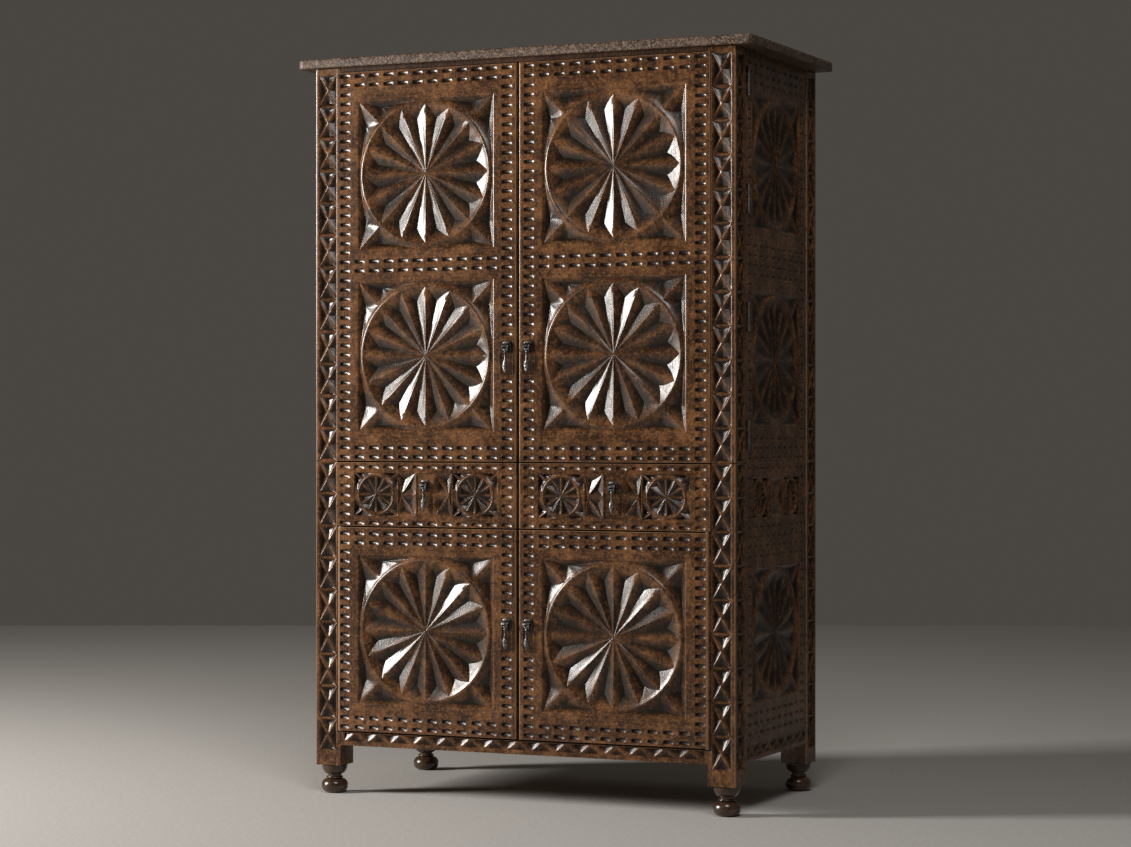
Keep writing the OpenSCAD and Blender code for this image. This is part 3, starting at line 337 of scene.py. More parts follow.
@dataclass(frozen=True)
class MetalFinish:
    """Forged or drawn metal with a mottled surface."""

    name: str
    dark: Colour
    light: Colour
    roughness: float
    mottle: float = 420.0
    relief: float = 0.4
    metallic: float = 1.0

    def material(self) -> bpy.types.Material:
        """Build the finish.

        Returns:
            The material.
        """
        shader = Shader(self.name)
        place = shader.stretched((1, 1, 1))
        spots = shader.noise(place, self.mottle, 4.0)
        broad = shader.noise(place, self.mottle / 5, 3.0)
        colour = shader.mix(shader.ramp(broad, 0.35, 0.65), (*self.dark, 1), (*self.light, 1))
        rough = shader.math("ADD", shader.math("MULTIPLY", spots, 0.25), self.roughness - 0.12)
        shader.set(Base_Color=colour, Roughness=rough, Metallic=self.metallic)
        shader.bump(spots, self.relief, 0.0004)
        return shader.material


class Finishes:
    """The finishes of the cabinet, one material each."""

    def __init__(self) -> None:
        """Build all materials."""
        self.walnut = WoodFinish("walnut", (0.020, 0.008, 0.0035), (0.080, 0.033, 0.0125),
                                 (0.235, 0.105, 0.041)).material()
        self.walnut_dark = WoodFinish("walnut_dark", (0.016, 0.007, 0.004), (0.060, 0.027, 0.012),
                                      (0.110, 0.052, 0.024), roughness=0.26, gloss=0.6).material()
        self.inside = WoodFinish("walnut_inside", (0.10, 0.055, 0.028), (0.21, 0.125, 0.068),
                                 (0.27, 0.165, 0.092), roughness=0.5, gloss=0.05, relief=0.25).material()
        self.slab = WoodFinish("slab_wood", (0.014, 0.007, 0.004), (0.050, 0.027, 0.015),
                               (0.090, 0.053, 0.033), pale_rub_and_highlight=(0.30, 0.20, 0.14), roughness=0.46, gloss=0.0,
                               grain_width=0.005, grain_length=0.05, relief=1.0, flecks=0.55).material()
        self.iron = MetalFinish("black_iron", (0.045, 0.044, 0.043), (0.20, 0.19, 0.18), 0.36,
                                mottle=900.0, relief=0.6).material()
        self.steel = MetalFinish("steel", (0.34, 0.33, 0.32), (0.50, 0.49, 0.47), 0.36).material()
        # A darker copy of the steel for the hinges: its dimming is painted shade for the barrels on the shaded
        # side.
        self.hinge_steel = MetalFinish("hinge_steel", (0.17, 0.16, 0.15), (0.28, 0.27, 0.25), 0.44).material()
        self.brass = MetalFinish("brass", (0.36, 0.24, 0.09), (0.52, 0.38, 0.17), 0.34).material()

    def of_slot(self, slot: str) -> bpy.types.Material:
        """The material of one of the record's slots."""
        by_slot = {"walnut": self.walnut, "walnut_dark": self.walnut_dark, "walnut_inside": self.inside,
                   "slab_wood": self.slab, "iron": self.iron, "steel": self.steel,
                   "hinge_steel": self.hinge_steel, "brass": self.brass}
        return by_slot[slot]


# Carving kit


class Relief:
    """Faces of a carved surface in mm: u to the right, v up, w out of the wood."""

    def __init__(self) -> None:
        """Start with no faces."""
        self.mesh = bmesh.new()
        self.cut = self.mesh.faces.layers.int.new("cut")
        self.rail = self.mesh.faces.layers.float.new("rail")
        self.depth = self.mesh.verts.layers.float.new("depth")

    def face(self, corners: Sequence[Point], cut: Cut = Cut.PLAIN, rail: float = 0.0) -> None:
        """Add one face, counterclockwise seen from outside.

        Args:
            corners: Its corners. Neighbours that coincide are merged.
            cut: How the face was made.
            rail: 1 where the grain runs along u, 0 where it runs along v.
        """
        kept = [c for i, c in enumerate(corners) if math.dist(c, corners[i - 1]) > 1e-3]
        if len(kept) < 3:
            return
        made = self.mesh.faces.new([self.mesh.verts.new(c) for c in kept])
        made[self.cut] = cut
        made[self.rail] = rail

    def surface(self, at: Callable[[float, float], Point], along: int, across: int,
                cut: Cut = Cut.FACET, rail: float = 0.0) -> None:
        """Add a patch of quads.

        Args:
            at: Point for shares s and t, where s then t turn counterclockwise.
            along: Number of quads along s.
            across: Number of quads along t.
            cut: How the patch was made.
            rail: Direction of the grain, as in face.
        """
        grid = [[at(i / along, j / across) for j in range(across + 1)] for i in range(along + 1)]
        for i in range(along):
            for j in range(across):
                self.face([grid[i][j], grid[i + 1][j], grid[i + 1][j + 1], grid[i][j + 1]], cut, rail)

    def facet(self, a: Point, b: Point, c: Point, steps: int, hollow: float) -> None:
        """Add a triangular facet, scooped a little between its straight edges.

        Args:
            a: First corner.
            b: Second corner, counterclockwise.
            c: Third corner.
            steps: Number of quads along each edge.
            hollow: Depth of the scoop in the middle.
        """

        def at(s: float, t: float) -> Point:
            """Point of the facet, with a at s = 0."""
            u, v, w = lerp(a, lerp(b, c, t), s)
            return (u, v, w - hollow * 16 * s * (1 - s) * t * (1 - t))

        self.surface(at, steps, steps)

    def weld(self) -> None:
        """Join corners that coincide."""
        bmesh.ops.remove_doubles(self.mesh, verts=self.mesh.verts[:], dist=WELD)

    def unsettle(self, amount: float, seed: float) -> None:
        """Move points off the rim a little, as hand work does.

        Args:
            amount: Greatest move in mm.
            seed: Number that chooses the pattern.
        """
        for vert in self.mesh.verts:
            if not vert.is_boundary:
                vert.co += amount * noise.noise_vector(vert.co / 22 + Vector((seed, 3 * seed, 7)))

    def rings(self, outer: Sides, inner: Sides, rail: float = 0.0) -> None:
        """Fill between two rectangles.

        Args:
            outer: The outer rectangle.
            inner: The inner one.
            rail: Direction of the grain along the bottom and the top side.
        """
        for number, (far, near) in enumerate(zip(outer, inner)):
            self.face([*far, *reversed(near)], rail=rail if number % 2 == 0 else 0.0)

    def sink(self, cell: Sides, box: Box, slope: float, deep: float, rail: float = 0.0) -> None:
        """Sink a smooth field into a cell.

        Args:
            cell: Sides of the cell.
            box: Edges of the field at the face.
            slope: Width of its slopes.
            deep: Its depth.
            rail: Direction of the grain, as in rings.
        """
        edge, floor = rectangle(box), rectangle(inset(box, slope), -deep)
        self.rings(cell, edge, rail)
        self.rings(edge, floor, rail)
        self.face([side[0] for side in floor], Cut.GOUGE, rail)

    def to_mesh(self, name: str) -> bpy.types.Mesh:
        """The relief as a mesh, with each point's depth as an attribute."""
        for vert in self.mesh.verts:
            vert[self.depth] = -vert.co.z
        made = bpy.data.meshes.new(name)
        self.mesh.to_mesh(made)
        return made

    def paste(self, mesh: bpy.types.Mesh, u: float, v: float) -> None:
        """Add another relief's faces, moved by u and v."""
        cuts = mesh.attributes["cut"].data
        rails = mesh.attributes["rail"].data
        places = [(p.co.x + u, p.co.y + v, p.co.z) for p in mesh.vertices]
        for polygon in mesh.polygons:
            index = polygon.index
            self.face([places[i] for i in polygon.vertices], Cut(cuts[index].value), rails[index].value)


def centred(u: float, v: float, width: float, height: float) -> Box:
    """Edges of a rectangle whose middle lies at u, v."""
    return (u - width / 2, u + width / 2, v - height / 2, v + height / 2)


def inset(box: Box, by: float) -> Box:
    """Edges that lie a little further in."""
    return (box[0] + by, box[1] - by, box[2] + by, box[3] - by)


def rectangle(box: Box, w: float = 0.0, extra_u: Sequence[float] = (), extra_v: Sequence[float] = ()) -> Sides:
    """Sides of a rectangle, counterclockwise from the bottom.

    Args:
        box: Its edges.
        w: Height out of the wood.
        extra_u: Further points along the bottom and the top.
        extra_v: Further points along the right and the left.

    Returns:
        Points of the bottom, right, top and left side, each with both its corners.
    """
    u0, u1, v0, v1 = box
    us, vs = [u0, *sorted(extra_u), u1], [v0, *sorted(extra_v), v1]
    return [[(u, v0, w) for u in us], [(u1, v, w) for v in vs],
            [(u, v1, w) for u in reversed(us)], [(u0, v, w) for v in reversed(vs)]]


def subdivided(side: Sequence[Point], steps: int) -> list[Point]:
    """A side with each stretch cut into steps, as the facets along it are."""
    points = [side[0]]
    for a, b in zip(side, side[1:]):
        points += [lerp(a, b, k / steps) for k in range(1, steps + 1)]
    return points


@dataclass(frozen=True)
class Gouge:
    """One short scoop: steep at its left end and upper edge, with a floor that rises to the lower right."""

    width: float = 31.0
    height: float = 13.0
    depth: float = 5.0
    cell_width: float = 39.0
    cell_height: float = 18.4
    along: tuple[Pair, ...] = ((-1, 0), (-0.96, 0.06), (-0.84, 0.92), (-0.52, 1.0), (0.0, 0.80), (0.45, 0.56),
                               (0.80, 0.27), (0.95, 0.05), (1, 0))
    across: tuple[Pair, ...] = ((-1, 0), (-0.90, 0.10), (-0.56, 0.52), (-0.10, 0.85), (0.45, 1.0),
                                (0.80, 0.82), (0.94, 0.10), (1, 0))

    @property
    def half(self) -> Pair:
        """Half the cell's width and height."""
        return self.cell_width / 2, self.cell_height / 2

    def relief(self) -> Relief:
        """Carve the scoop into a plain cell about the origin.

        Returns:
            The cell.
        """
        made = Relief()
        grid = [[self.spot(x, y, f * g) for y, g in self.across] for x, f in self.along]
        rows, columns = len(grid), len(grid[0])
        for i in range(rows - 1):
            for j in range(columns - 1):
                made.face([grid[i][j], grid[i + 1][j], grid[i + 1][j + 1], grid[i][j + 1]], Cut.GOUGE)
        hu, hv = self.half
        corners = [(-hu, -hv, 0.0), (hu, -hv, 0.0), (hu, hv, 0.0), (-hu, hv, 0.0)]
        sides = [[grid[i][0] for i in range(rows)], grid[-1],
                 [grid[i][-1] for i in reversed(range(rows))], grid[0][::-1]]
        for number, side in enumerate(sides):
            made.face([corners[number], corners[(number + 1) % 4], *reversed(side)])
        made.weld()
        return made

    def spot(self, x: float, y: float, share: float) -> Point:
        """A point of the scoop, with its corners rounded off."""
        u = x * self.width / 2 * math.sqrt(1 - 0.20 * y * y)
        v = y * self.height / 2 * math.sqrt(1 - 0.28 * x * x)
        return (u, v, -self.depth * share)


@dataclass(frozen=True)
class Quarter:
    """A quarter of a rosette, counted counterclockwise, that mirrors the first one."""

    number: int

    @property
    def mirrored(self) -> bool:
        """Whether faces of the first quarter turn the other way here."""
        return self.number % 2 == 1

    def put(self, point: Point) -> Point:
        """A point of the first quarter, placed in this one."""
        u, v, w = point
        return (-u if self.number in (1, 2) else u, -v if self.number in (2, 3) else v, w)


@dataclass(frozen=True)
class Rosette:
    """Petals in a round moulding, with a spike in each corner of a rectangle."""

    width: float
    height: float
    petals: int
    depth: float
    ring: float
    border: float = -2.5
    lip: float = 1.6
    margin: float = 1.5
    steps: int = 4
    hollow: float = 1.1
    button: float = 3.5
    bow: float = 0.045
    hub: float = 0.34
    shoulder: float = 0.81
    bead: float = 1.9
    seed: float = 1.0

    @property
    def outer(self) -> float:
        """Outer radius of the moulding."""
        return min(self.width, self.height) / 2 - self.margin

    def relief(self) -> Relief:
        """Carve the rosette about the origin.

        Returns:
            The rosette, rimmed by its rectangle at the height of the border.
        """
        made = Relief()
        self.flower(made, self.outer - self.ring)
        self.moulding(made)
        for corner in range(4):
            self.corner(made, Quarter(corner))
        made.weld()
        made.unsettle(0.55, self.seed)
        return made

    def flower(self, made: Relief, radius: float) -> None:
        """Carve the petals and the chips behind them.

        Args:
            made: Relief to add to.
            radius: Radius of the tips.
        """
        turn = 360 / self.petals
        middle = -self.hub * self.depth
        for k in range(self.petals):
            a = k * turn
            tip = on_circle(radius, a, -self.lip)
            root = on_circle(self.button, a, middle)
            for side in (-1, 1):
                shoulder = on_circle(self.shoulder * radius, a + side * turn / 2, -self.depth)
                start = on_circle(self.button, a + side * turn / 2, middle - 0.4)
                self.petal_half(made, root, start, shoulder, tip, side)
                self.chip(made, shoulder, radius, a, a + side * turn / 2, self.arch(tip, shoulder, side))
                crown = (0.0, 0.0, middle + 0.5)
                made.face([crown, root, start] if side > 0 else [crown, start, root], Cut.ROUND)

    def petal_half(self, made: Relief, root: Point, start: Point, shoulder: Point, tip: Point, side: int) -> None:
        """Carve one flank of a petal, a little hollow across."""
        bow_u, bow_v = self.arch(tip, shoulder, side)

        def at(s: float, t: float) -> Point:
            """Point at share s of the petal's length and t from the ridge to the valley."""
            share = t if side > 0 else 1 - t
            u, v, w = lerp(lerp(root, tip, s), lerp(start, shoulder, s), share)
            bow = 4 * share * (1 - share) * s ** 3
            scoop = self.hollow * 4 * share * (1 - share) * math.sin(math.pi * s ** 0.6)
            return (u + bow * bow_u, v + bow * bow_v, w - scoop)

        made.surface(at, 2 * self.steps, self.steps)

    def arch(self, tip: Point, shoulder: Point, side: int) -> Pair:
        """How far the petal's edge between tip and shoulder bows outwards, as u and v."""
        du, dv = shoulder[0] - tip[0], shoulder[1] - tip[1]
        return (side * self.bow * dv, -side * self.bow * du)

    def chip(self, made: Relief, shoulder: Point, radius: float, a: float, b: float, bow: Pair) -> None:
        """Carve the chip that rises from a shoulder to the moulding between angles a and b.

        Args:
            made: Relief to add to.
            shoulder: Deepest point, at angle b.
            radius: Inner radius of the moulding.
            a: Angle of the petal's tip.
            b: Angle of the shoulder.
            bow: How far the edge along the petal bows outwards.
        """
        first, last = min(a, b), max(a, b)

        def at(s: float, t: float) -> Point:
            """Point at share s from the shoulder to the moulding and t along the moulding."""
            u, v, w = lerp(shoulder, on_circle(radius, first + (last - first) * t, -self.lip), s)
            share = 4 * s * (1 - s) * ((1 - t) if a < b else t) ** 2
            return (u + share * bow[0], v + share * bow[1], w)

        made.surface(at, self.steps, self.steps)

    def moulding(self, made: Relief) -> None:
        """Add the round moulding about the flower."""
        inner = self.outer - self.ring

        def at(s: float, t: float) -> Point:
            """Point at share s across the moulding and t round it."""
            swell = math.sin(math.pi * s)
            base = -self.lip + (self.border + self.lip) * s
            return on_circle(inner + self.ring * s, 360 * t, base + (self.bead + 0.3 * (1 - s)) * swell ** 0.7)

        made.surface(at, 7, 2 * self.petals * self.steps, Cut.ROUND)

    def corner(self, made: Relief, quarter: Quarter) -> None:
        """Carve the two pits of a quarter's corner, and the plain ends of its axes."""
        outer, border = self.outer, self.border
        hw, hh = self.width / 2, self.height / 2
        intervals = self.petals // 2
        step = 90 / intervals
        half = intervals // 2
        e = outer * math.sin(math.radians(step))
        close, off = 0.07 * outer, 0.33 * outer
        start, far, end = (hw, e, border), (hw, hh, border), (e, hh, border)
        ring = [on_circle(outer, j * step, border) for j in range(1, intervals)]
        for chain, low in (([start, far, *reversed(ring[:half])], (hw - close, hh - off, -self.depth)),
                           ([far, end, *reversed(ring[half - 1:])], (hw - off, hh - close, -self.depth))):
            for a, b in zip(chain, [*chain[1:], chain[0]]):
                self.flank(made, quarter, a, b, low)
        fine = step / self.steps
        arc_u = [on_circle(outer, j * fine, border) for j in range(self.steps + 1)]
        arc_v = [on_circle(outer, 90 - j * fine, border) for j in range(self.steps + 1)]
        for plain in ([start, *reversed(arc_u), (hw, 0.0, border)], [(0.0, hh, border), *arc_v, end]):
            placed = [quarter.put(point) for point in plain]
            made.face(placed[::-1] if quarter.mirrored else placed)

    def flank(self, made: Relief, quarter: Quarter, a: Point, b: Point, low: Point) -> None:
        """Carve the facet of a corner's pit that falls from the edge a to b to the deepest point."""
        follows_circle = all(abs(math.hypot(p[0], p[1]) - self.outer) < 0.01 for p in (a, b))

        def at(s: float, t: float) -> Point:
            """Point at share s from the deepest point to the edge and t along it, counterclockwise."""
            t = 1 - t if quarter.mirrored else t
            u, v, w = lerp(a, b, t)
            if follows_circle:
                scale = self.outer / math.hypot(u, v)
                u, v = u * scale, v * scale
            u, v, w = lerp(low, (u, v, w), s)
            return quarter.put((u, v, w - 0.6 * 16 * s * (1 - s) * t * (1 - t)))

        made.surface(at, self.steps, self.steps)

    def rim(self, u: float, v: float) -> Sides:
        """Sides of the rosette's rectangle when its middle lies at u, v."""
        e = self.outer * math.sin(math.radians(180 / self.petals))
        box = centred(u, v, self.width, self.height)
        return rectangle(box, self.border, (u - e, u, u + e), (v - e, v, v + e))

    def place(self, relief: Relief, cell: Sides, u: float, v: float) -> None:
        """Carve the rosette into a cell of another relief, with its middle at u, v."""
        relief.rings(cell, self.rim(u, v), rail=1.0)
        mesh = self.relief().to_mesh("rosette")
        relief.paste(mesh, u, v)
        bpy.data.meshes.remove(mesh)


@dataclass(frozen=True)
class PostUnit:
    """One unit of the post's pattern: an hourglass of ridges between two halves of a leaf."""

    width: float
    height: float
    depth: float = 9.0
    hollow: float = 0.35
    steps: int = 3

    def relief(self) -> Relief:
        """Carve the unit, with its lower edge at v = 0.

        Returns:
            The unit.
        """
        made = Relief()
        a, p, d = self.width / 2, self.height, self.depth
        sag = 0.11 * p
        bl, br, tl, tr = (-a, 0, 0), (a, 0, 0), (-a, p, 0), (a, p, 0)
        c = (0, p / 2, 0)
        pl, pr = (-0.60 * a, p / 2, -d), (0.60 * a, p / 2, -d)
        side, rise, floor, bed = 0.5 * a, 0.75 * sag, -0.6 * d, -0.9 * d
        u1, u2, u3 = (-side, p - rise, floor), (0, p - sag, bed), (side, p - rise, floor)
        d1, d2, d3 = (-side, rise, floor), (0, sag, bed), (side, rise, floor)
        facets = [(tl, bl, pl), (bl, c, pl), (c, tl, pl), (br, tr, pr), (tr, c, pr), (c, br, pr),
                  (tr, tl, u2), (tl, u1, u2), (u2, u3, tr), (tl, c, u1), (u1, c, u2), (u2, c, u3), (u3, c, tr),
                  (bl, br, d2), (br, d3, d2), (d2, d1, bl), (bl, d1, c), (d1, d2, c), (d2, d3, c), (d3, br, c)]
        for corners in facets:
            made.facet(*corners, self.steps, self.hollow)
        made.weld()
        return made


@dataclass(frozen=True)
class ZigzagTooth:
    """One tooth of the zigzag between two half teeth that hang."""

    width: float
    height: float
    depth: float = 5.5
    hollow: float = 0.3
    steps: int = 3

    def relief(self) -> Relief:
        """Carve the tooth about its middle line, with its lower edge at v = 0.

        Returns:
            The tooth.
        """
        made = Relief()
        p, h, d = self.width / 2, self.height, self.depth
        low = (0, 0.25 * h, -d)
        left, right, peak = (-p, 0, 0), (p, 0, 0), (0, h, 0)
        for a, b in ((left, right), (right, peak), (peak, left)):
            made.facet(a, b, low, self.steps, self.hollow)
        for side in (-1, 1):
            high = (side * p, 0.75 * h, -d)
            for a, b in (((side * p, 0, 0), high), (high, (side * p, h, 0))):
                made.facet(a, *((b, peak) if side > 0 else (peak, b)), self.steps, self.hollow)
        made.weld()
        return made


class CarvedRun(NodeTree):
    """A Geometry Nodes tree that sets copies of a carved tile in rows and columns."""

    def __init__(self) -> None:
        """Build the tree."""
        super().__init__(bpy.data.node_groups.new("carved_run", "GeometryNodeTree"))
        sockets = {"Tile": "NodeSocketObject", "Columns": "NodeSocketInt", "Rows": "NodeSocketInt",
                   "Pitch u": "NodeSocketFloat", "Pitch v": "NodeSocketFloat", "Wander": "NodeSocketFloat",
                   "Seed": "NodeSocketFloat", "Finish": "NodeSocketMaterial"}
        face = self.tree.interface
        face.new_socket("Geometry", in_out="INPUT", socket_type="NodeSocketGeometry")
        self.inputs = {name: face.new_socket(name, in_out="INPUT", socket_type=kind).identifier
                       for name, kind in sockets.items()}
        face.new_socket("Geometry", in_out="OUTPUT", socket_type="NodeSocketGeometry")
        start = self.node("NodeGroupInput")
        size_u = self.length(start, "Columns", "Pitch u")
        size_v = self.length(start, "Rows", "Pitch v")
        spots = self.node("GeometryNodeMeshGrid", {"Size X": size_u, "Size Y": size_v,
                                                   "Vertices X": start.outputs["Columns"],
                                                   "Vertices Y": start.outputs["Rows"]})
        tile = self.node("GeometryNodeObjectInfo", {"Object": start.outputs["Tile"]})
        copies = self.node("GeometryNodeInstanceOnPoints", {"Points": spots.outputs["Mesh"],
                                                            "Instance": tile.outputs["Geometry"]})
        solid = self.node("GeometryNodeRealizeInstances", {"Geometry": copies.outputs[0]})
        merged = self.node("GeometryNodeMergeByDistance", {"Geometry": solid.outputs[0], "Distance": WELD})
        moved = self.node("GeometryNodeSetPosition", {"Geometry": merged.outputs[0],
                                                      "Selection": self.carved(),
                                                      "Offset": self.wander(start)})
        done = self.node("GeometryNodeSetMaterial", {"Geometry": moved.outputs[0],
                                                     "Material": start.outputs["Finish"]})
        self.node("NodeGroupOutput", {"Geometry": done.outputs[0]})

    def length(self, start: bpy.types.Node, count: str, pitch: str) -> Socket:
        """The distance between the first and the last copy."""
        gaps = self.node("ShaderNodeMath", {0: start.outputs[count], 1: 1.0}, operation="SUBTRACT")
        return self.node("ShaderNodeMath", {0: gaps.outputs[0], 1: start.outputs[pitch]},
                         operation="MULTIPLY").outputs[0]

    def carved(self) -> Socket:
        """Whether a point lies in a cut."""
        depth = self.node("GeometryNodeInputNamedAttribute", {"Name": "depth"}, data_type="FLOAT")
        return self.node("FunctionNodeCompare", {0: depth.outputs[0], 1: 0.2}, data_type="FLOAT",
                         operation="GREATER_THAN").outputs[0]

    def wander(self, start: bpy.types.Node) -> Socket:
        """A small move that differs from copy to copy."""
        place = self.node("GeometryNodeInputPosition")
        waves = self.node("ShaderNodeTexNoise", {"Vector": place.outputs[0], "W": start.outputs["Seed"],
                                                 "Scale": 0.045, "Detail": 1.0}, noise_dimensions="4D")
        centred = self.node("ShaderNodeVectorMath", {0: waves.outputs["Color"], 1: (0.5, 0.5, 0.5)},
                            operation="SUBTRACT")
        return self.node("ShaderNodeVectorMath", {0: centred.outputs[0], "Scale": start.outputs["Wander"]},
                         operation="SCALE").outputs[0]

    def repeat(self, tile: Relief, columns: int, rows: int, pitch_u: float, pitch_v: float,
               wander: float, seed: float, finish: bpy.types.Material) -> bpy.types.Mesh:
        """Set copies of a tile about the origin.

        Args:
            tile: Relief to repeat.
            columns: Copies along u.
            rows: Copies along v.
            pitch_u: Distance between copies along u.
            pitch_v: Distance between copies along v.
            wander: Greatest move of a point in a cut, in mm.
            seed: Number that chooses the moves.
            finish: Material of the copies.

        Returns:
            One mesh with all copies.
        """
        source = add_object("tile", tile.to_mesh("tile"))
        holder = add_object("run", bpy.data.meshes.new("run"))
        modifier = holder.modifiers.new("run", "NODES")
        modifier.node_group = self.tree
        values = {"Tile": source, "Columns": columns, "Rows": rows, "Pitch u": pitch_u, "Pitch v": pitch_v,
                  "Wander": wander, "Seed": seed, "Finish": finish}
        for name, value in values.items():
            modifier[self.inputs[name]] = value
        graph = bpy.context.evaluated_depsgraph_get()
        graph.update()
        result = bpy.data.meshes.new_from_object(holder.evaluated_get(graph))
        for made in (holder, source):
            bpy.data.objects.remove(made)
        return result


@dataclass(frozen=True)
class Plane:
    """A face of the cabinet that carries carving."""

    origin: Vector
    right: Vector
    out: Vector

    def at(self, point: Sequence[float]) -> Vector:
        """The place of a relief's point."""
        return self.origin + point[0] * self.right + point[1] * UP + point[2] * self.out

    def depth(self, place: Vector) -> float:
        """How far a place lies below the face."""
        return (self.origin - place).dot(self.out)


def front_plane(y: float) -> Plane:
    """The plane of a front at y."""
    return Plane(Vector((0, y, 0)), Vector((1, 0, 0)), Vector((0, -1, 0)))


def side_plane(x: float, hand: int) -> Plane:
    """The plane of the right (hand 1) or left (hand -1) side at distance x from the middle."""
    return Plane(Vector((hand * x, 0, 0)), Vector((0, hand, 0)), Vector((hand, 0, 0)))


class Timber:
    """A wooden piece under construction, in mm."""

    def __init__(self) -> None:
        """Start with no faces."""
        self.mesh = bmesh.new()
        self.cut = self.mesh.faces.layers.int.new("cut")
        self.rail = self.mesh.faces.layers.float.new("rail")
        self.planes: list[Plane] = []

    def face(self, corners: Iterable[Vector], cut: int = Cut.PLAIN, rail: float = 0.0) -> bmesh.types.BMFace:
        """Add one face, counterclockwise seen from outside."""
        made = self.mesh.faces.new([self.mesh.verts.new(c) for c in corners])
        made[self.cut] = cut
        made[self.rail] = rail
        return made

    def carve(self, relief: Relief, plane: Plane) -> None:
        """Put a relief on one of the piece's faces."""
        self.planes.append(plane)
        for polygon in relief.mesh.faces:
            self.face([plane.at(v.co) for v in polygon.verts], polygon[relief.cut], polygon[relief.rail])

    def thicken(self, plane: Plane, thickness: float, pivot: float | None = None) -> None:
        """Close the piece with walls and a back, thickness below its face.

        Args:
            plane: The carved face.
            thickness: Distance of the back.
            pivot: X of the axis that the edge beyond it is round about, if it is.
        """
        radius = thickness / 2
        for turn in ROUND_TURNS[1:] if pivot is not None else ROUND_TURNS[-1:]:
            self.weld()
            rim = [e for e in self.mesh.edges if e.is_boundary]
            made = bmesh.ops.extrude_edge_only(self.mesh, edges=rim)["geom"]
            for wall in (g for g in made if isinstance(g, bmesh.types.BMFace)):
                wall[self.cut] = Cut.BACK
            for vert in (g for g in made if isinstance(g, bmesh.types.BMVert)):
                vert.co -= plane.out * (radius + radius * math.sin(turn) - plane.depth(vert.co))
                if pivot is not None:
                    reach = abs(pivot) + radius * math.cos(turn)
                    vert.co.x = math.copysign(min(abs(vert.co.x), reach), vert.co.x)
        self.weld()
        self.close_back(plane)

    def close_back(self, plane: Plane) -> None:
        """Fill the open outlines on the back with triangles, and leave its holes open."""
        rim = [e for e in self.mesh.edges if e.is_boundary]
        verts = list(dict.fromkeys(v for e in rim for v in e.verts))
        index = {v: i for i, v in enumerate(verts)}
        flat = [Vector((plane.right.dot(v.co), v.co.z)) for v in verts]
        lines = [(index[e.verts[0]], index[e.verts[1]]) for e in rim]
        spots, _, triangles, origins, _, _ = geometry.delaunay_2d_cdt(flat, lines, [], 0, 1e-5)
        for corners in triangles:
            middle = sum((spots[i] for i in corners), Vector((0, 0))) / len(corners)
            crossed = 0
            for p, q in ((flat[a], flat[b]) for a, b in lines):
                if (p.y > middle.y) != (q.y > middle.y):
                    crossed += p.x + (middle.y - p.y) / (q.y - p.y) * (q.x - p.x) > middle.x
            if crossed % 2:
                back = self.mesh.faces.new([verts[origins[i][0]] for i in reversed(corners)])
                back[self.cut] = Cut.BACK

    def block(self, low: Sequence[float], high: Sequence[float]) -> None:
        """Add a plain block."""
        sizes = Vector(high) - Vector(low)
        middle = (Vector(high) + Vector(low)) / 2
        bmesh.ops.create_cube(self.mesh, size=1.0, matrix=Matrix.Translation(middle) @ Matrix.Diagonal((*sizes, 1)))

    def loft(self, rings: Sequence[Sequence[Vector]], capped: bool = True) -> None:
        """Skin a row of closed rings.

        Args:
            rings: Rings with the same number of points.
            capped: Whether the first and the last ring are closed; otherwise they are joined.
        """
        rows = [[self.mesh.verts.new(p) for p in ring] for ring in rings]
        pairs = list(zip(rows, rows[1:])) if capped else list(zip(rows, rows[1:] + rows[:1]))
        for a, b in pairs:
            for k in range(len(a)):
                n = (k + 1) % len(a)
                self.mesh.faces.new([a[k], a[n], b[n], b[k]])
        if capped:
            self.mesh.faces.new(rows[0][::-1])
            self.mesh.faces.new(rows[-1])

    def turn(self, profile: Sequence[Pair], base: Vector, axis: Axis, segments: int,
             capped: bool = True) -> None:
        """Turn a profile on the lathe.

        Args:
            profile: Radius and place along the axis, point by point.
            base: Where the axis starts.
            axis: Its direction.
            segments: Number of steps round the axis.
            capped: Whether the profile ends in flat faces; otherwise it closes on itself.
        """
        rings = []
        for radius, along in profile:
            circle = arc((0.0, 0.0), (radius, radius), 0.0, 360 / segments, segments)
            rings.append([base + Vector((along, a, b) if axis is Axis.X else (a, b, along)) for a, b in circle])
        self.loft(rings, capped)

    def prism(self, profile: Sequence[Pair], base: Vector, x0: float, x1: float,
              ease: float) -> None:
        """Add a prism along X with eased ends.

        Args:
            profile: Its outline as Y and Z.
            base: Origin of the outline.
            x0: Start along X.
            x1: End along X.
            ease: How far the ends' edges are blunted.
        """
        middle = Vector((0, sum(y for y, _ in profile), sum(z for _, z in profile))) / len(profile)

        def ring(x: float, shrink: float) -> list[Vector]:
            """The outline at x, drawn in a little."""
            points = []
            for y, z in profile:
                spot = Vector((0, y, z))
                spot -= (spot - middle).normalized() * shrink
                points.append(base + Vector((x, spot.y, spot.z)))
            return points

        self.loft([ring(x0, ease), ring(x0 + ease, 0), ring(x1 - ease, 0), ring(x1, ease)])

    def weld(self) -> None:
        """Join corners that coincide, and edges with the corners that lie on them."""
        bmesh.ops.remove_doubles(self.mesh, verts=self.mesh.verts[:], dist=WELD)
        points = list(dict.fromkeys(v for e in self.mesh.edges if e.is_boundary for v in e.verts))
        tree = kdtree.KDTree(len(points))
        for number, vert in enumerate(points):
            tree.insert(vert.co, number)
        tree.balance()

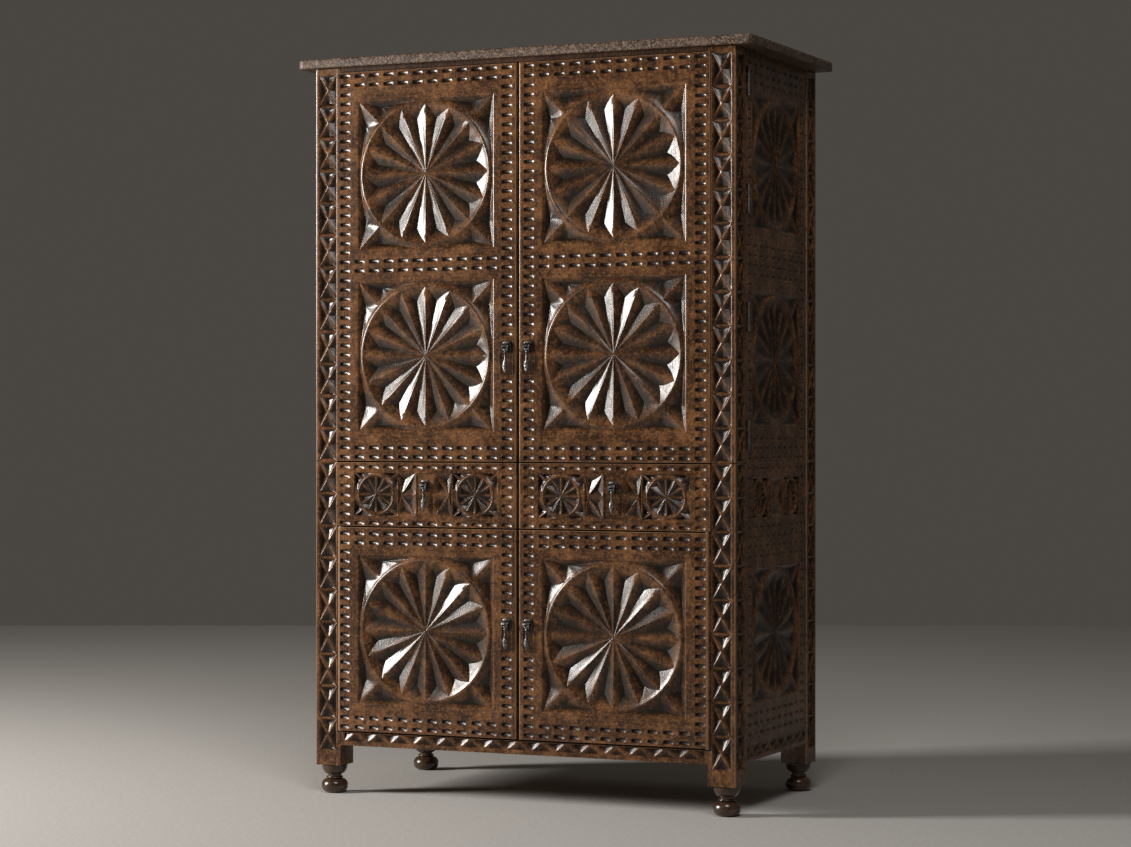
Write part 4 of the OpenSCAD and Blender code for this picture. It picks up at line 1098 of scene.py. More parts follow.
        def between(a: bmesh.types.BMVert, b: bmesh.types.BMVert) -> list[bmesh.types.BMVert]:
            """Points that lie on the straight line from a to b."""
            way = b.co - a.co
            found = []
            for place, number, _ in tree.find_range((a.co + b.co) / 2, way.length / 2):
                share = (place - a.co).dot(way) / way.length_squared
                if points[number] not in (a, b) and (a.co + share * way - place).length < WELD:
                    found.append((share, number))
            return [points[number] for _, number in sorted(found)]

        stale = []
        for old in [f for f in self.mesh.faces if any(e.is_boundary for e in f.edges)]:
            corners = []
            for loop in old.loops:
                corners.append(loop.vert)
                if loop.edge.is_boundary:
                    corners += between(loop.vert, loop.link_loop_next.vert)
            if len(corners) > len(old.verts) and len(set(corners)) == len(corners):
                made = self.mesh.faces.new(corners)
                made[self.cut], made[self.rail] = old[self.cut], old[self.rail]
                stale.append(old)
        bmesh.ops.delete(self.mesh, geom=stale, context="FACES")

    def ease(self, amount: float) -> list[bmesh.types.BMFace]:
        """Blunt the ridges of the carving.

        Args:
            amount: Width taken off each flank.

        Returns:
            The faces of the blunted ridges.
        """
        ridges = []
        for edge in self.mesh.edges:
            if len(edge.link_faces) != 2 or not edge.is_convex:
                continue
            cuts = {f[self.cut] for f in edge.link_faces}
            if any(f[self.cut] == Cut.ROUND for v in edge.verts for f in v.link_faces):
                continue
            if Cut.FACET in cuts and cuts <= {Cut.FACET, Cut.PLAIN} and edge.calc_face_angle() > RIDGE_ANGLE:
                ridges.append(edge)
        if not ridges:
            return []
        made = bmesh.ops.bevel(self.mesh, geom=ridges, offset=amount, segments=2, profile=0.5, affect="EDGES",
                               clamp_overlap=False, material=-1)
        return made["faces"]

    def finish(self, name: str, material: bpy.types.Material, deepest: float = 1.0, blunt: float = 0.5,
               sharp: float = 24.0) -> bpy.types.Object:
        """Make the piece an object.

        Args:
            name: Name of the piece.
            material: Its finish.
            deepest: Depth at which the glazing and painted shade are darkest, in mm.
            blunt: Width taken off each flank of a ridge.
            sharp: Angle in degrees from which an edge stays sharp.

        Returns:
            The object.
        """
        self.weld()
        bmesh.ops.recalc_face_normals(self.mesh, faces=self.mesh.faces[:])
        pale_rub_and_highlight = set(self.ease(blunt))
        wear = self.mesh.faces.layers.float.new("wear")
        glazing_and_shade = self.mesh.verts.layers.float.new("glazing_and_shade")
        for polygon in self.mesh.faces:
            polygon.smooth = True
            # The wear mark pales blunted ridges and arrises: partly real rubbing, partly painted highlight.
            polygon[wear] = float(polygon in pale_rub_and_highlight or polygon[self.cut] == Cut.ARRIS)
        # Painted shade: points below the carved face get a darkening amount that grows with depth, partly real
        # glazing, partly shade.
        for vert in self.mesh.verts:
            if all(polygon[self.cut] in FLAT_CUTS for polygon in vert.link_faces):
                continue
            near = min((plane.depth(vert.co) for plane in self.planes), key=abs)
            vert[glazing_and_shade] = min(1.0, max(0.0, near / deepest)) if near < 2 * deepest else 0.0
        bmesh.ops.scale(self.mesh, vec=(MM, MM, MM), verts=self.mesh.verts[:])
        shape = bpy.data.meshes.new(name)
        self.mesh.to_mesh(shape)
        self.mesh.free()
        shape.set_sharp_from_angle(angle=math.radians(sharp))
        shape.materials.append(material)
        return add_object(name, shape)


def settle(piece: bpy.types.Object, body: str, slot: str, *nodes: str) -> None:
    """Hand a finished piece over to the frame.

    Args:
        piece: The piece.
        body: The body that it moves with.
        slot: The material slot that it stands for; not used.
        *nodes: CAD nodes that it replaces.
    """
    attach(piece, body)
    if nodes:
        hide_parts(*nodes)
    LOG.info("%s: %d faces on %s", piece.name, len(piece.data.polygons), body)


# Boards with rows of gouge cuts


@dataclass(frozen=True)
class Run:
    """A block of gouge cuts in a board's grid: first column and row, and how many of each."""

    column: int
    row: int
    columns: int
    rows: int

    def cells(self) -> set[tuple[int, int]]:
        """The grid cells of the block."""
        return {(self.column + i, self.row + j) for i in range(self.columns) for j in range(self.rows)}


@dataclass
class GougedBoard:
    """A flat carved board whose gouge cuts stand on a grid."""

    u0: float
    u1: float
    v0: float
    v1: float
    us: list[float]
    vs: list[float]
    gouge: Gouge
    runs: list[Run]
    left_round: float = 2.0
    right_round: float = 2.0
    end_round: float = 1.2
    wander: float = 1.1
    # Rounded edges that drop less than this are marked as arrises and painted pale: partly rubbing, partly painted
    # highlight.
    rub_and_highlight_drop: float = 4.0
    holes: list[Box] = field(default_factory=list)

    def lines(self, low: float, high: float, middles: Sequence[float], half: float,
              low_round: float, high_round: float) -> list[float]:
        """Grid lines between two edges, with finer ones on the rounded edges."""
        first = [low + low_round * (1 - math.cos(t)) for t in ROUND_TURNS]
        last = [high - high_round * (1 - math.cos(t)) for t in reversed(ROUND_TURNS)]
        inside = [m + s * half for m in middles for s in (-1, 1)]
        return first + inside + last

    def drop(self, u: float, v: float) -> float:
        """How far the rounded edges lie below the face at a point."""

        def fall(distance: float, radius: float) -> float:
            """Drop of a round edge at a distance from it."""
            if distance >= radius or radius <= 0:
                return 0.0
            return radius - math.sqrt(max(0.0, radius * radius - (radius - distance) ** 2))

        return max(fall(u - self.u0, self.left_round), fall(self.u1 - u, self.right_round),
                   fall(v - self.v0, self.end_round), fall(self.v1 - v, self.end_round))

    def relief(self, maker: CarvedRun, finish: bpy.types.Material, seed: float) -> Relief:
        """Carve the board, without what stands in its holes.

        Args:
            maker: Tree that repeats the gouge cuts.
            finish: Material of the board.
            seed: Number that chooses the irregularities.

        Returns:
            The carved face, open at the holes.
        """
        made = Relief()
        half_u, half_v = self.gouge.half
        u_lines = self.lines(self.u0, self.u1, self.us, half_u, self.left_round, self.right_round)
        v_lines = self.lines(self.v0, self.v1, self.vs, half_v, self.end_round, self.end_round)
        gouged = set().union(*(run.cells() for run in self.runs)) if self.runs else set()
        for i, (a, b) in enumerate(zip(u_lines, u_lines[1:])):
            for j, (c, d) in enumerate(zip(v_lines, v_lines[1:])):
                u, v = (a + b) / 2, (c + d) / 2
                if any(h[0] < u < h[1] and h[2] < v < h[3] for h in self.holes):
                    continue
                column, row = i - len(ROUND_TURNS), j - len(ROUND_TURNS)
                if column % 2 == 0 and row % 2 == 0 and (column // 2, row // 2) in gouged:
                    continue
                rail = 1.0 if self.us and self.us[0] + half_u < u < self.us[-1] - half_u else 0.0
                corners = [(p, q, -self.drop(p, q)) for p, q in ((a, c), (b, c), (b, d), (a, d))]
                fall = -corners[0][2] - corners[2][2]
                made.face(corners, Cut.ARRIS if 0.02 < fall < self.rub_and_highlight_drop else Cut.PLAIN, rail)
        tile = self.gouge.relief()
        pitch_u, pitch_v = self.us[1] - self.us[0], self.vs[1] - self.vs[0]
        for number, run in enumerate(self.runs):
            mesh = maker.repeat(tile, run.columns, run.rows, pitch_u, pitch_v, self.wander, seed + number, finish)
            middle_u = (self.us[run.column] + self.us[run.column + run.columns - 1]) / 2
            middle_v = (self.vs[run.row] + self.vs[run.row + run.rows - 1]) / 2
            made.paste(mesh, middle_u, middle_v)
            bpy.data.meshes.remove(mesh)
        made.weld()
        return made

    def clear(self, low_row: int, high_row: int) -> Box:
        """Leave the field between two rows and the outer columns open, and return its edges."""
        half_u, half_v = self.gouge.half
        box = (self.us[0] + half_u, self.us[-1] - half_u, self.vs[low_row] + half_v, self.vs[high_row] - half_v)
        self.holes.append(box)
        return box

    def region(self, box: Box) -> Sides:
        """Sides of a region between grid lines, with the grid's own points along them."""
        half_u, half_v = self.gouge.half
        us = [m + s * half_u for m in self.us for s in (-1, 1)]
        vs = [m + s * half_v for m in self.vs for s in (-1, 1)]
        u0, u1, v0, v1 = box
        return rectangle(box, 0.0, [u for u in us if u0 + 0.1 < u < u1 - 0.1],
                         [v for v in vs if v0 + 0.1 < v < v1 - 0.1])


def spaced(first: float, last: float, count: int) -> list[float]:
    """Evenly spaced values from first to last."""
    return [first + (last - first) * k / (count - 1) for k in range(count)]


@dataclass(frozen=True)
class FrontLayout:
    """How the carving lies on a door or drawer front."""

    columns: int = 12
    inner_margin: float = 28.5
    outer_margin: float = 27.0
    bevel: float = 6.0
    sunk: float = 3.0
    profile: tuple[Pair, ...] = ((0.12, 0.02), (0.40, 0.20), (0.72, 0.50), (0.90, 0.78), (1.0, 1.0))

    def middles(self, low: Vector, high: Vector, hand: int) -> list[float]:
        """Middles of the gouge columns, from left to right."""
        near = self.inner_margin if hand > 0 else self.outer_margin
        far = self.outer_margin if hand > 0 else self.inner_margin
        return spaced(low.x + near, high.x - far, self.columns)


@dataclass
class Door:
    """A door leaf with one or two rosette panels."""

    case: Case
    hand: int
    rows: int
    top_margin: float
    bottom_margin: float
    row_pairs: tuple[int, ...]
    panel_middles: tuple[float, ...]
    pull_rows: tuple[int, int]
    layout: FrontLayout = FrontLayout()
    panel_width: float = 411.0
    panel_height: float = 409.0
    panel_gap: float = 0.3
    patch_margin: float = 1.0
    patch_slope: float = 2.5
    patch_depth: float = 1.6
    thickness: float = 22.0
    seed: float = 1.0

    @property
    def pivot(self) -> float | None:
        """X of the axis of a lower door, whose hanging edge is round about it."""
        if self.case is Case.UPPER:
            return None
        low, high = node_box(self.body)
        return high.x - self.thickness / 2 if self.hand > 0 else low.x + self.thickness / 2

    @property
    def body(self) -> str:
        """The body that the door is."""
        return f"{self.case.value}_{side_word(self.hand)}_door"

    @property
    def panel_node(self) -> str:
        """The CAD node of its panels."""
        return f"{self.case.value}_{side_word(self.hand)}_panel" + ("s" if self.case is Case.UPPER else "")

    def board(self) -> GougedBoard:
        """Lay out the leaf's grid.

        Returns:
            The board, with holes where the panels' frames and the pull's patch go.
        """
        low, high = node_box(self.body)
        us = self.layout.middles(low, high, self.hand)
        vs = spaced(low.z + self.bottom_margin, high.z - self.top_margin, self.rows)
        inner = 0 if self.hand > 0 else self.layout.columns - 1
        outer = self.layout.columns - 1 - inner
        runs = [Run(0, row, self.layout.columns, 2) for row in self.row_pairs]
        for first, last in zip(self.row_pairs, self.row_pairs[1:]):
            runs.append(Run(outer, first + 2, 1, last - first - 2))
            runs += [Run(inner, a, 1, b - a + 1) for a, b in self.stile_parts(first + 2, last - 1)]
        gouge = Gouge() if self.pivot is None else Gouge(cell_width=32.0)
        rounds = [4.0, 2.5 if self.pivot is None else self.thickness / 2][::self.hand]
        return GougedBoard(low.x, high.x, low.z, high.z, us, vs, gouge, runs, *rounds)

    def stile_parts(self, first: int, last: int) -> list[tuple[int, int]]:
        """Rows of the inner stile between first and last that the pull's patch leaves."""
        start, end = self.pull_rows
        if end < first or start > last:
            return [(first, last)]
        return [(a, b) for a, b in ((first, start - 1), (end + 1, last)) if a <= b]

    def build(self, maker: CarvedRun, finishes: Finishes) -> None:
        """Build the leaf and its panels."""
        board = self.board()
        low, high = node_box(self.body)
        plane = front_plane(low.y)
        fields = [board.clear(a + 1, b) for a, b in zip(self.row_pairs, self.row_pairs[1:])]
        half_u, half_v = board.gouge.half
        u = board.us[0 if self.hand > 0 else -1]
        first, last = self.pull_rows
        patch = (u - half_u, u + half_u, board.vs[first] - half_v, board.vs[last] + half_v)
        board.holes.append(patch)
        relief = board.relief(maker, finishes.walnut, self.seed)
        middle = (low.x + high.x) / 2
        for opening, v in zip(fields, self.panel_middles):
            self.frame(relief, board.region(opening), centred(middle, v, self.panel_width, self.panel_height))
        relief.sink(board.region(patch), inset(patch, self.patch_margin), self.patch_slope, self.patch_depth)
        timber = Timber()
        timber.carve(relief, plane)
        timber.thicken(plane, self.thickness, self.pivot)
        leaf = timber.finish(f"{self.body}_leaf", finishes.walnut, deepest=3.0)
        settle(leaf, self.body, "walnut", self.body)
        self.panels(plane, middle, finishes)

    def frame(self, relief: Relief, opening: Sides, box: Box) -> None:
        """Carve the frame that falls from an opening's sides to a sunk panel."""
        edge = rectangle(box)
        relief.rings(opening, edge, rail=1.0)
        for share, fall in self.layout.profile:
            lower = rectangle(inset(box, share * self.layout.bevel), -fall * self.layout.sunk)
            relief.rings(edge, lower, rail=1.0)
            edge = lower

    def panels(self, plane: Plane, middle: float, finishes: Finishes) -> None:
        """Build the rosette panels in one piece."""
        shrink = 2 * self.layout.bevel + self.panel_gap
        timber = Timber()
        for number, v in enumerate(self.panel_middles):
            rosette = Rosette(self.panel_width - shrink, self.panel_height - shrink, petals=16, depth=13.0,
                              ring=11.5, border=-self.layout.sunk, seed=self.seed * 3 + number)
            carved = rosette.relief()
            for vert in carved.mesh.verts:
                vert.co += Vector((middle, v, 0))
            timber.carve(carved, plane)
        timber.thicken(plane, self.thickness - 1)
        made = timber.finish(f"{self.body}_panels", finishes.walnut, deepest=13.0)
        settle(made, self.body, "walnut", self.panel_node)


@dataclass
class DrawerFront:
    """A drawer front: rosette, half star, plain pull panel, half star, rosette."""

    hand: int
    rows: int = 7
    top_margin: float = 13.0
    bottom_margin: float = 7.5
    layout: FrontLayout = FrontLayout()
    rosette_width: float = 133.0
    star_width: float = 55.0
    pull_width: float = 54.0
    band_height: float = 118.0
    lip: float = 1.2
    thickness: float = 22.0
    seed: float = 5.0

    def build(self, maker: CarvedRun, finishes: Finishes) -> None:
        """Build the drawer front."""
        body = f"{side_word(self.hand)}_drawer"
        node = f"{body}_front"
        low, high = node_box(node)
        us = self.layout.middles(low, high, self.hand)
        vs = spaced(low.z + self.bottom_margin, high.z - self.top_margin, self.rows)
        last = self.rows - 1
        runs = [Run(0, 0, self.layout.columns, 1), Run(0, last, self.layout.columns, 1),
                Run(0, 1, 1, last - 1), Run(self.layout.columns - 1, 1, 1, last - 1)]
        rounds = (4.0, 2.5) if self.hand > 0 else (2.5, 4.0)
        gouge = Gouge(height=12.5, cell_height=13.0)
        board = GougedBoard(low.x, high.x, low.z, high.z, us, vs, gouge, runs, *rounds, 0.8)
        opening = board.clear(0, -1)
        relief = board.relief(maker, finishes.walnut, self.seed)
        self.band(relief, board.region(opening), (low.x + high.x) / 2, (low.z + high.z) / 2)
        plane = front_plane(low.y)
        timber = Timber()
        timber.carve(relief, plane)
        timber.thicken(plane, self.thickness)
        made = timber.finish(f"{body}_face", finishes.walnut, deepest=8.0)
        settle(made, body, "walnut", node)

    def band(self, relief: Relief, opening: Sides, middle: float, v: float) -> None:
        """Carve the band of five fields about the point middle, v."""
        widths = [self.rosette_width, self.star_width, self.pull_width, self.star_width, self.rosette_width]
        edges = [middle - sum(widths) / 2]
        for width in widths:
            edges.append(edges[-1] + width)
        low, high = v - self.band_height / 2, v + self.band_height / 2
        relief.rings(opening, rectangle((edges[0], edges[-1], low, high), 0.0, edges[1:-1]), rail=1.0)
        for number, (a, b) in enumerate(zip(edges, edges[1:])):
            box = (a, b, low, high)
            if number in (0, 4):
                flower = Rosette(self.rosette_width - 2 * self.lip, self.band_height - 2 * self.lip, petals=12,
                                 depth=9.0, ring=6.5, border=-1.2, steps=3, hollow=0.5, button=2.0,
                                 seed=self.seed + number)
                flower.place(relief, rectangle(box), (a + b) / 2, v)
            elif number == 2:
                relief.sink(rectangle(box), inset(box, 1.5), slope=2.0, deep=2.0, rail=1.0)
            else:
                self.half_star(relief, box, number == 1)

    def half_star(self, relief: Relief, box: Box, rays_right: bool) -> None:
        """Carve a half star: a bowed leaf along the rosette's side and three rays from its middle."""
        u0, u1, v0, v1 = box
        sign = 1 if rays_right else -1
        start = u0 if rays_right else u1
        width, hh, middle, deep = u1 - u0, (v1 - v0) / 2, (v0 + v1) / 2, 8.0

        def put(x: float, y: float, w: float) -> Point:
            """A point by its distance from the rosette's side and from the middle."""
            return (start + sign * x, middle + y, w)

        m = 1.5
        b0, b1, t0, t1 = put(m, m - hh, 0), put(width - m, m - hh, 0), put(m, hh - m, 0), put(width - m, hh - m, 0)
        root, mid = put(0.2 * width, 0, -0.5), put(width - m, 0, 0)
        low_pit, high_pit = put(0.62 * width, -0.36 * hh, -deep), put(0.62 * width, 0.36 * hh, -deep)
        low_side, high_side = put(0.34 * width, -0.68 * hh, -deep), put(0.34 * width, 0.68 * hh, -deep)
        back = put(0.11 * width, 0, -0.6 * deep)
        for corners in ((root, mid, high_pit), (mid, t1, high_pit), (t1, root, high_pit),
                        (mid, root, low_pit), (b1, mid, low_pit), (root, b1, low_pit),
                        (t1, t0, high_side), (t0, root, high_side), (root, t1, high_side),
                        (b0, b1, low_side), (b1, root, low_side), (root, b0, low_side),
                        (t0, b0, back), (b0, root, back), (root, t0, back)):
            relief.facet(*(corners if rays_right else corners[::-1]), 3, 0.3)
        if rays_right:
            inner = [[b0, b1], [b1, mid, t1], [t1, t0], [t0, b0]]
        else:
            inner = [[b1, b0], [b0, t0], [t0, t1], [t1, mid, b1]]
        relief.rings(rectangle(box), [subdivided(side, 3) for side in inner], rail=1.0)


@dataclass
class SidePanel:
    """A carved side of the upper or the lower case."""

    case: Case
    hand: int
    pitch_row: float
    first_row: float
    rows: int
    full_rows: tuple[int, ...]
    rosettes: tuple[tuple[float, int, int], ...]
    band_rows: tuple[int, int] | None = None
    width: float = 366.0
    height: float = 350.0
    columns: int = 10
    first_column: float = 112.0
    last_column: float = 518.0
    small_width: float = 124.0
    band_height: float = 106.0
    thickness: float = 20.0
    seed: float = 9.0

    def build(self, maker: CarvedRun, finishes: Finishes, case_front: float) -> None:
        """Build the side panel.

        Args:
            maker: Tree that repeats the gouge cuts.
            finishes: The cabinet's finishes.
            case_front: Y of the front posts' faces, in mm.
        """
        node = f"{self.case.value}_side_{side_word(self.hand)}"
        low, high = node_box(node)
        face_x = max(abs(low.x), abs(high.x))
        plane = side_plane(face_x, self.hand)
        u0, u1 = sorted((self.hand * low.y, self.hand * high.y))
        us = sorted(self.hand * (case_front + y)
                    for y in spaced(self.first_column, self.last_column, self.columns))
        vs = [self.first_row + self.pitch_row * k for k in range(self.rows)]
        gouge = Gouge(width=30.0, height=10.5, depth=3.8, cell_width=35.0, cell_height=17.0)
        runs = [Run(0, row, self.columns, 1) for row in self.full_rows]
        ends = [k for k in range(self.rows) if k not in self.full_rows]
        runs += [Run(column, row, 1, 1) for row in ends for column in (0, self.columns - 1)]
        board = GougedBoard(u0, u1, low.z, high.z, us, vs, gouge, runs, 0.6, 0.6, 0.6)
        openings = [board.clear(a, b) for _, a, b in self.rosettes]
        band = board.clear(*self.band_rows) if self.band_rows else None
        relief = board.relief(maker, finishes.walnut, self.seed)
        middle = (us[0] + us[-1]) / 2
        for number, (opening, (v, _, _)) in enumerate(zip(openings, self.rosettes)):
            flower = Rosette(self.width - 4, self.height - 4, petals=16, depth=10.0, ring=11.0, border=-1.5,
                             steps=3, seed=self.seed + number)
            edge = rectangle(centred(middle, v, self.width, self.height))
            relief.rings(board.region(opening), edge, rail=1.0)
            flower.place(relief, edge, middle, v)
        if band:
            self.band(relief, board.region(band), middle, (band[2] + band[3]) / 2)
        timber = Timber()
        timber.carve(relief, plane)
        timber.thicken(plane, self.thickness)
        made = timber.finish(f"{node}_panel", finishes.walnut, deepest=9.0)
        settle(made, "cabinet", "walnut", node)

    def band(self, relief: Relief, opening: Sides, middle: float, v: float) -> None:
        """Carve the band of rosette, cross and rosette about the point middle, v."""
        cross = self.width - 2 * self.small_width
        edges = [middle - self.width / 2, middle - cross / 2, middle + cross / 2, middle + self.width / 2]
        low, high = v - self.band_height / 2, v + self.band_height / 2
        relief.rings(opening, rectangle((edges[0], edges[-1], low, high), 0.0, edges[1:-1]), rail=1.0)
        for number, (a, b) in enumerate(zip(edges, edges[1:])):
            if number == 1:
                self.cross(relief, (a, b, low, high))
                continue
            flower = Rosette(b - a - 3, self.band_height - 3, petals=12, depth=8.0, ring=6.0, border=-1.2,
                             steps=2, hollow=0.5, button=2.0, seed=self.seed + 4 + number)
            flower.place(relief, rectangle((a, b, low, high)), (a + b) / 2, v)

    def cross(self, relief: Relief, box: Box) -> None:
        """Carve a cross of two ridges between four chips."""
        u0, u1, v0, v1 = box
        deep, near, middle = 7.0, 0.15, ((u0 + u1) / 2, (v0 + v1) / 2, -0.3)
        sides = rectangle(inset(box, 1.5))
        u, v, _ = middle
        pits = [(u, v0 + near * (v1 - v0), -deep), (u1 - near * (u1 - u0), v, -deep),
                (u, v1 - near * (v1 - v0), -deep), (u0 + near * (u1 - u0), v, -deep)]
        for (a, b), pit in zip(sides, pits):
            for corners in ((a, b, pit), (b, middle, pit), (middle, a, pit)):
                relief.facet(*corners, 3, 0.3)
        relief.rings(rectangle(box), [subdivided(side, 3) for side in sides], rail=1.0)


# Posts, aprons, slab and feet


@dataclass
class CornerPost:
    """A square post with a carved strip on its outer faces."""

    node: str
    body: str
    hand: int
    is_front: bool
    units: int
    plain_below: float
    plain_above: float
    notch: Pair | None = None
    strip: float = 53.6
    arris: float = 3.2
    wander: float = 1.0
    seed: float = 2.0

    def build(self, maker: CarvedRun, finishes: Finishes) -> None:
        """Build the post as a closed solid with its carved strips."""
        low, high = node_box(self.node)
        x0, x1 = sorted((abs(low.x), abs(high.x)))
        bottom, top = low.z + self.plain_below, high.z - self.plain_above
        pitch = (top - bottom) / self.units
        heights = [bottom + pitch * k for k in range(self.units + 1)]
        levels = [low.z, *heights, high.z]
        timber = Timber()
        section = self.section(x0, x1, low.y, high.y)
        for (p, q, mark) in section:
            for z0, z1 in zip(levels, levels[1:]):
                if mark and bottom - 0.01 < z0 and z1 < top + 0.01:
                    continue
                # Short stretches are rounded arrises, painted pale as rubbing and as a painted highlight.
                timber.face(self.wall(p, q, z0, z1), Cut.ARRIS if math.dist(p, q) < self.arris else Cut.PLAIN)
        ring = [p for p, _, _ in section]
        for z, order in ((low.z, -1), (high.z, 1)):
            corners = [Vector((self.hand * x, y, z)) for x, y in ring]
            timber.face(corners[::order * self.hand])
        unit = PostUnit(self.strip, pitch).relief()
        strip = maker.repeat(unit, 1, self.units, 1.0, pitch, self.wander, self.seed, finishes.walnut)
        shift = bottom + pitch * (self.units - 1) / 2
        if self.is_front:
            relief = Relief()
            relief.paste(strip, self.hand * (x0 + x1) / 2, shift)
            timber.carve(relief, front_plane(low.y))
        relief = Relief()
        relief.paste(strip, self.hand * (low.y + high.y) / 2, shift)
        timber.carve(relief, side_plane(x1, self.hand))
        bpy.data.meshes.remove(strip)
        if self.notch:
            for z0, z1 in self.fillers(low.z, high.z):
                a, b = sorted((self.hand * x0, self.hand * (x0 + self.notch[0])))
                timber.block((a, low.y, z0), (b, low.y + self.notch[1], z1))
        made = timber.finish(f"{self.node}_carved", finishes.walnut, deepest=7.0, blunt=1.1)
        settle(made, self.body, "walnut", self.node)

    def fillers(self, low: float, high: float) -> list[Pair]:
        """Stretches where the post keeps its full width beside the doors."""
        if self.body == "cabinet":
            return [(low, node_box("front_apron")[1].z)]
        return [(node_box(self.body)[1].z, high)]

    def wall(self, p: Pair, q: Pair, z0: float, z1: float) -> list[Vector]:
        """A wall over one stretch of the section, turned outwards."""
        a, b = (p, q) if self.hand > 0 else (q, p)
        (ax, ay), (bx, by) = a, b
        h = self.hand
        return [Vector((h * x, y, z)) for x, y, z in ((ax, ay, z0), (bx, by, z0), (bx, by, z1), (ax, ay, z1))]

    def section(self, x0: float, x1: float, y0: float, y1: float) -> list[tuple]:
        """Stretches of the section of a right-hand post, counterclockwise from above.

        Returns:
            Start, end and whether the stretch is the base of a carved strip.
        """
        r, half = self.arris, self.strip / 2
        xm, ym = (x0 + x1) / 2, (y0 + y1) / 2

        def corner(x: float, y: float, start: float) -> list[Pair]:
            """Points of a rounded arris."""
            return arc((x, y), (r, r), start, 30, 4)

        points: list[Pair] = []
        marks: set[int] = set()
        if self.notch:
            wide, deep = self.notch
            points += [(x0, y0 + deep), (x0 + wide, y0 + deep), (x0 + wide, y0)]
        else:
            points += corner(x0 + r, y0 + r, 180)
        if self.is_front:
            marks.add(len(points))
            points += [(xm - half, y0), (xm + half, y0)]
        points += corner(x1 - r, y0 + r, 270)
        marks.add(len(points))
        points += [(x1, ym - half), (x1, ym + half)]
        points += corner(x1 - r, y1 - r, 0)
        points += corner(x0 + r, y1 - r, 90)
        return [(p, points[(i + 1) % len(points)], i in marks) for i, p in enumerate(points)]


@dataclass
class Apron:
    """An apron with a zigzag along its upper edge."""

    plane: Plane
    start: float
    end: float
    bottom: float
    top: float
    teeth: int
    plain: float = 12.0
    height: float = 25.0
    thickness: float = 20.0

    def build(self, name: str, node: str, maker: CarvedRun, finishes: Finishes) -> None:
        """Build the apron.

        Args:
            name: Name of the piece.
            node: CAD node that it replaces.
            maker: Tree that repeats the teeth.
            finishes: The cabinet's finishes.
        """
        pitch = (self.end - self.start - 2 * self.plain) / self.teeth
        v0, v1 = self.top - 1 - self.height, self.top - 1
        u0, u1 = self.start + self.plain, self.end - self.plain
        relief = Relief()
        starts = spaced(u0, u1, self.teeth + 1)
        tops = sorted([*starts, *(a + pitch / 2 for a in starts[:-1])])
        tooth = ZigzagTooth(pitch, self.height)
        inner = [subdivided([(u, v0, 0) for u in starts], tooth.steps), [(u1, v0, 0), (u1, v1, 0)],
                 subdivided([(u, v1, 0) for u in tops], tooth.steps)[::-1], [(u0, v1, 0), (u0, v0, 0)]]
        relief.rings(rectangle((self.start, self.end, self.bottom, self.top)), inner, rail=1.0)
        mesh = maker.repeat(tooth.relief(), self.teeth, 1, pitch, 1.0, 0.0, 4.0, finishes.walnut)
        relief.paste(mesh, (u0 + u1) / 2, v0)
        for u, side in ((u0, 1), (u1, -1)):
            pit = (u, v0 + 0.75 * self.height, -tooth.depth)
            relief.face(subdivided([(u, v0, 0), pit, (u, v1, 0)], tooth.steps)[::side])
        relief.weld()
        relief.unsettle(0.4, 4.0)
        timber = Timber()
        timber.carve(relief, self.plane)
        timber.thicken(self.plane, self.thickness)
        made = timber.finish(name, finishes.walnut, deepest=5.0, blunt=0.4)
        settle(made, "cabinet", "walnut", node)


@dataclass
class TopSlab:
    """The slab on top, with rounded corners and a worn, uneven edge."""

    corner: float = 17.0
    spacing: float = 7.0
    thickness: float = 25.0
    worn_border: float = 9.0
    edge: tuple[Pair, ...] = ((9.0, 0.0), (1.2, 0.0), (0.2, 1.1), (0.0, 4.0), (0.1, 13.0), (0.2, 20.0),
                              (0.9, 22.8), (2.3, 24.4), (4.6, 25.0), (30.0, 25.0))

    def outline(self, low: Vector, high: Vector, depth: float) -> list[Vector]:
        """Points round the slab, at a depth in from its edge."""
        r = self.corner - min(depth, self.corner - 1)
        x0, x1, y0, y1 = inset((low.x, high.x, low.y, high.y), depth)
        middles = ((x1 - r, y0 + r, 270), (x1 - r, y1 - r, 0), (x0 + r, y1 - r, 90), (x0 + r, y0 + r, 180))
        corners = [[Vector((*p, 0)) for p in arc((cx, cy), (r, r), start, 15, 7)] for cx, cy, start in middles]
        ring: list[Vector] = []
        for corner, following in zip(corners, corners[1:] + corners[:1]):
            ring += corner
            a, b = corner[-1], following[0]
            count = round(((high.x - low.x) if abs(a.y - b.y) < 1 else (high.y - low.y)) / self.spacing)
            ring += [a.lerp(b, k / count) for k in range(1, count)]
        return ring

    def build(self, finishes: Finishes) -> None:
        """Build the slab."""
        low, high = node_box("top_slab")
        rings = []
        for depth, rise in self.edge:
            ring = self.outline(low, high, depth)
            for k, point in enumerate(ring):
                point.z = low.z + rise
                if 0 < rise < self.thickness or depth < self.worn_border:
                    wear = abs(noise.noise(point / 9) * 0.5 + noise.noise(point / 38) * 0.7)
                    ring[k] = point - Vector((0, 0, 0.35 * wear)) * (rise > 20)
                    middle = Vector(((low.x + high.x) / 2, (low.y + high.y) / 2, point.z))
                    ring[k] += (middle - point).normalized() * wear
            rings.append(ring)
        timber = Timber()
        timber.loft(rings)
        made = timber.finish("worn_slab", finishes.slab, sharp=40)
        settle(made, "cabinet", "slab_wood", "top_slab")


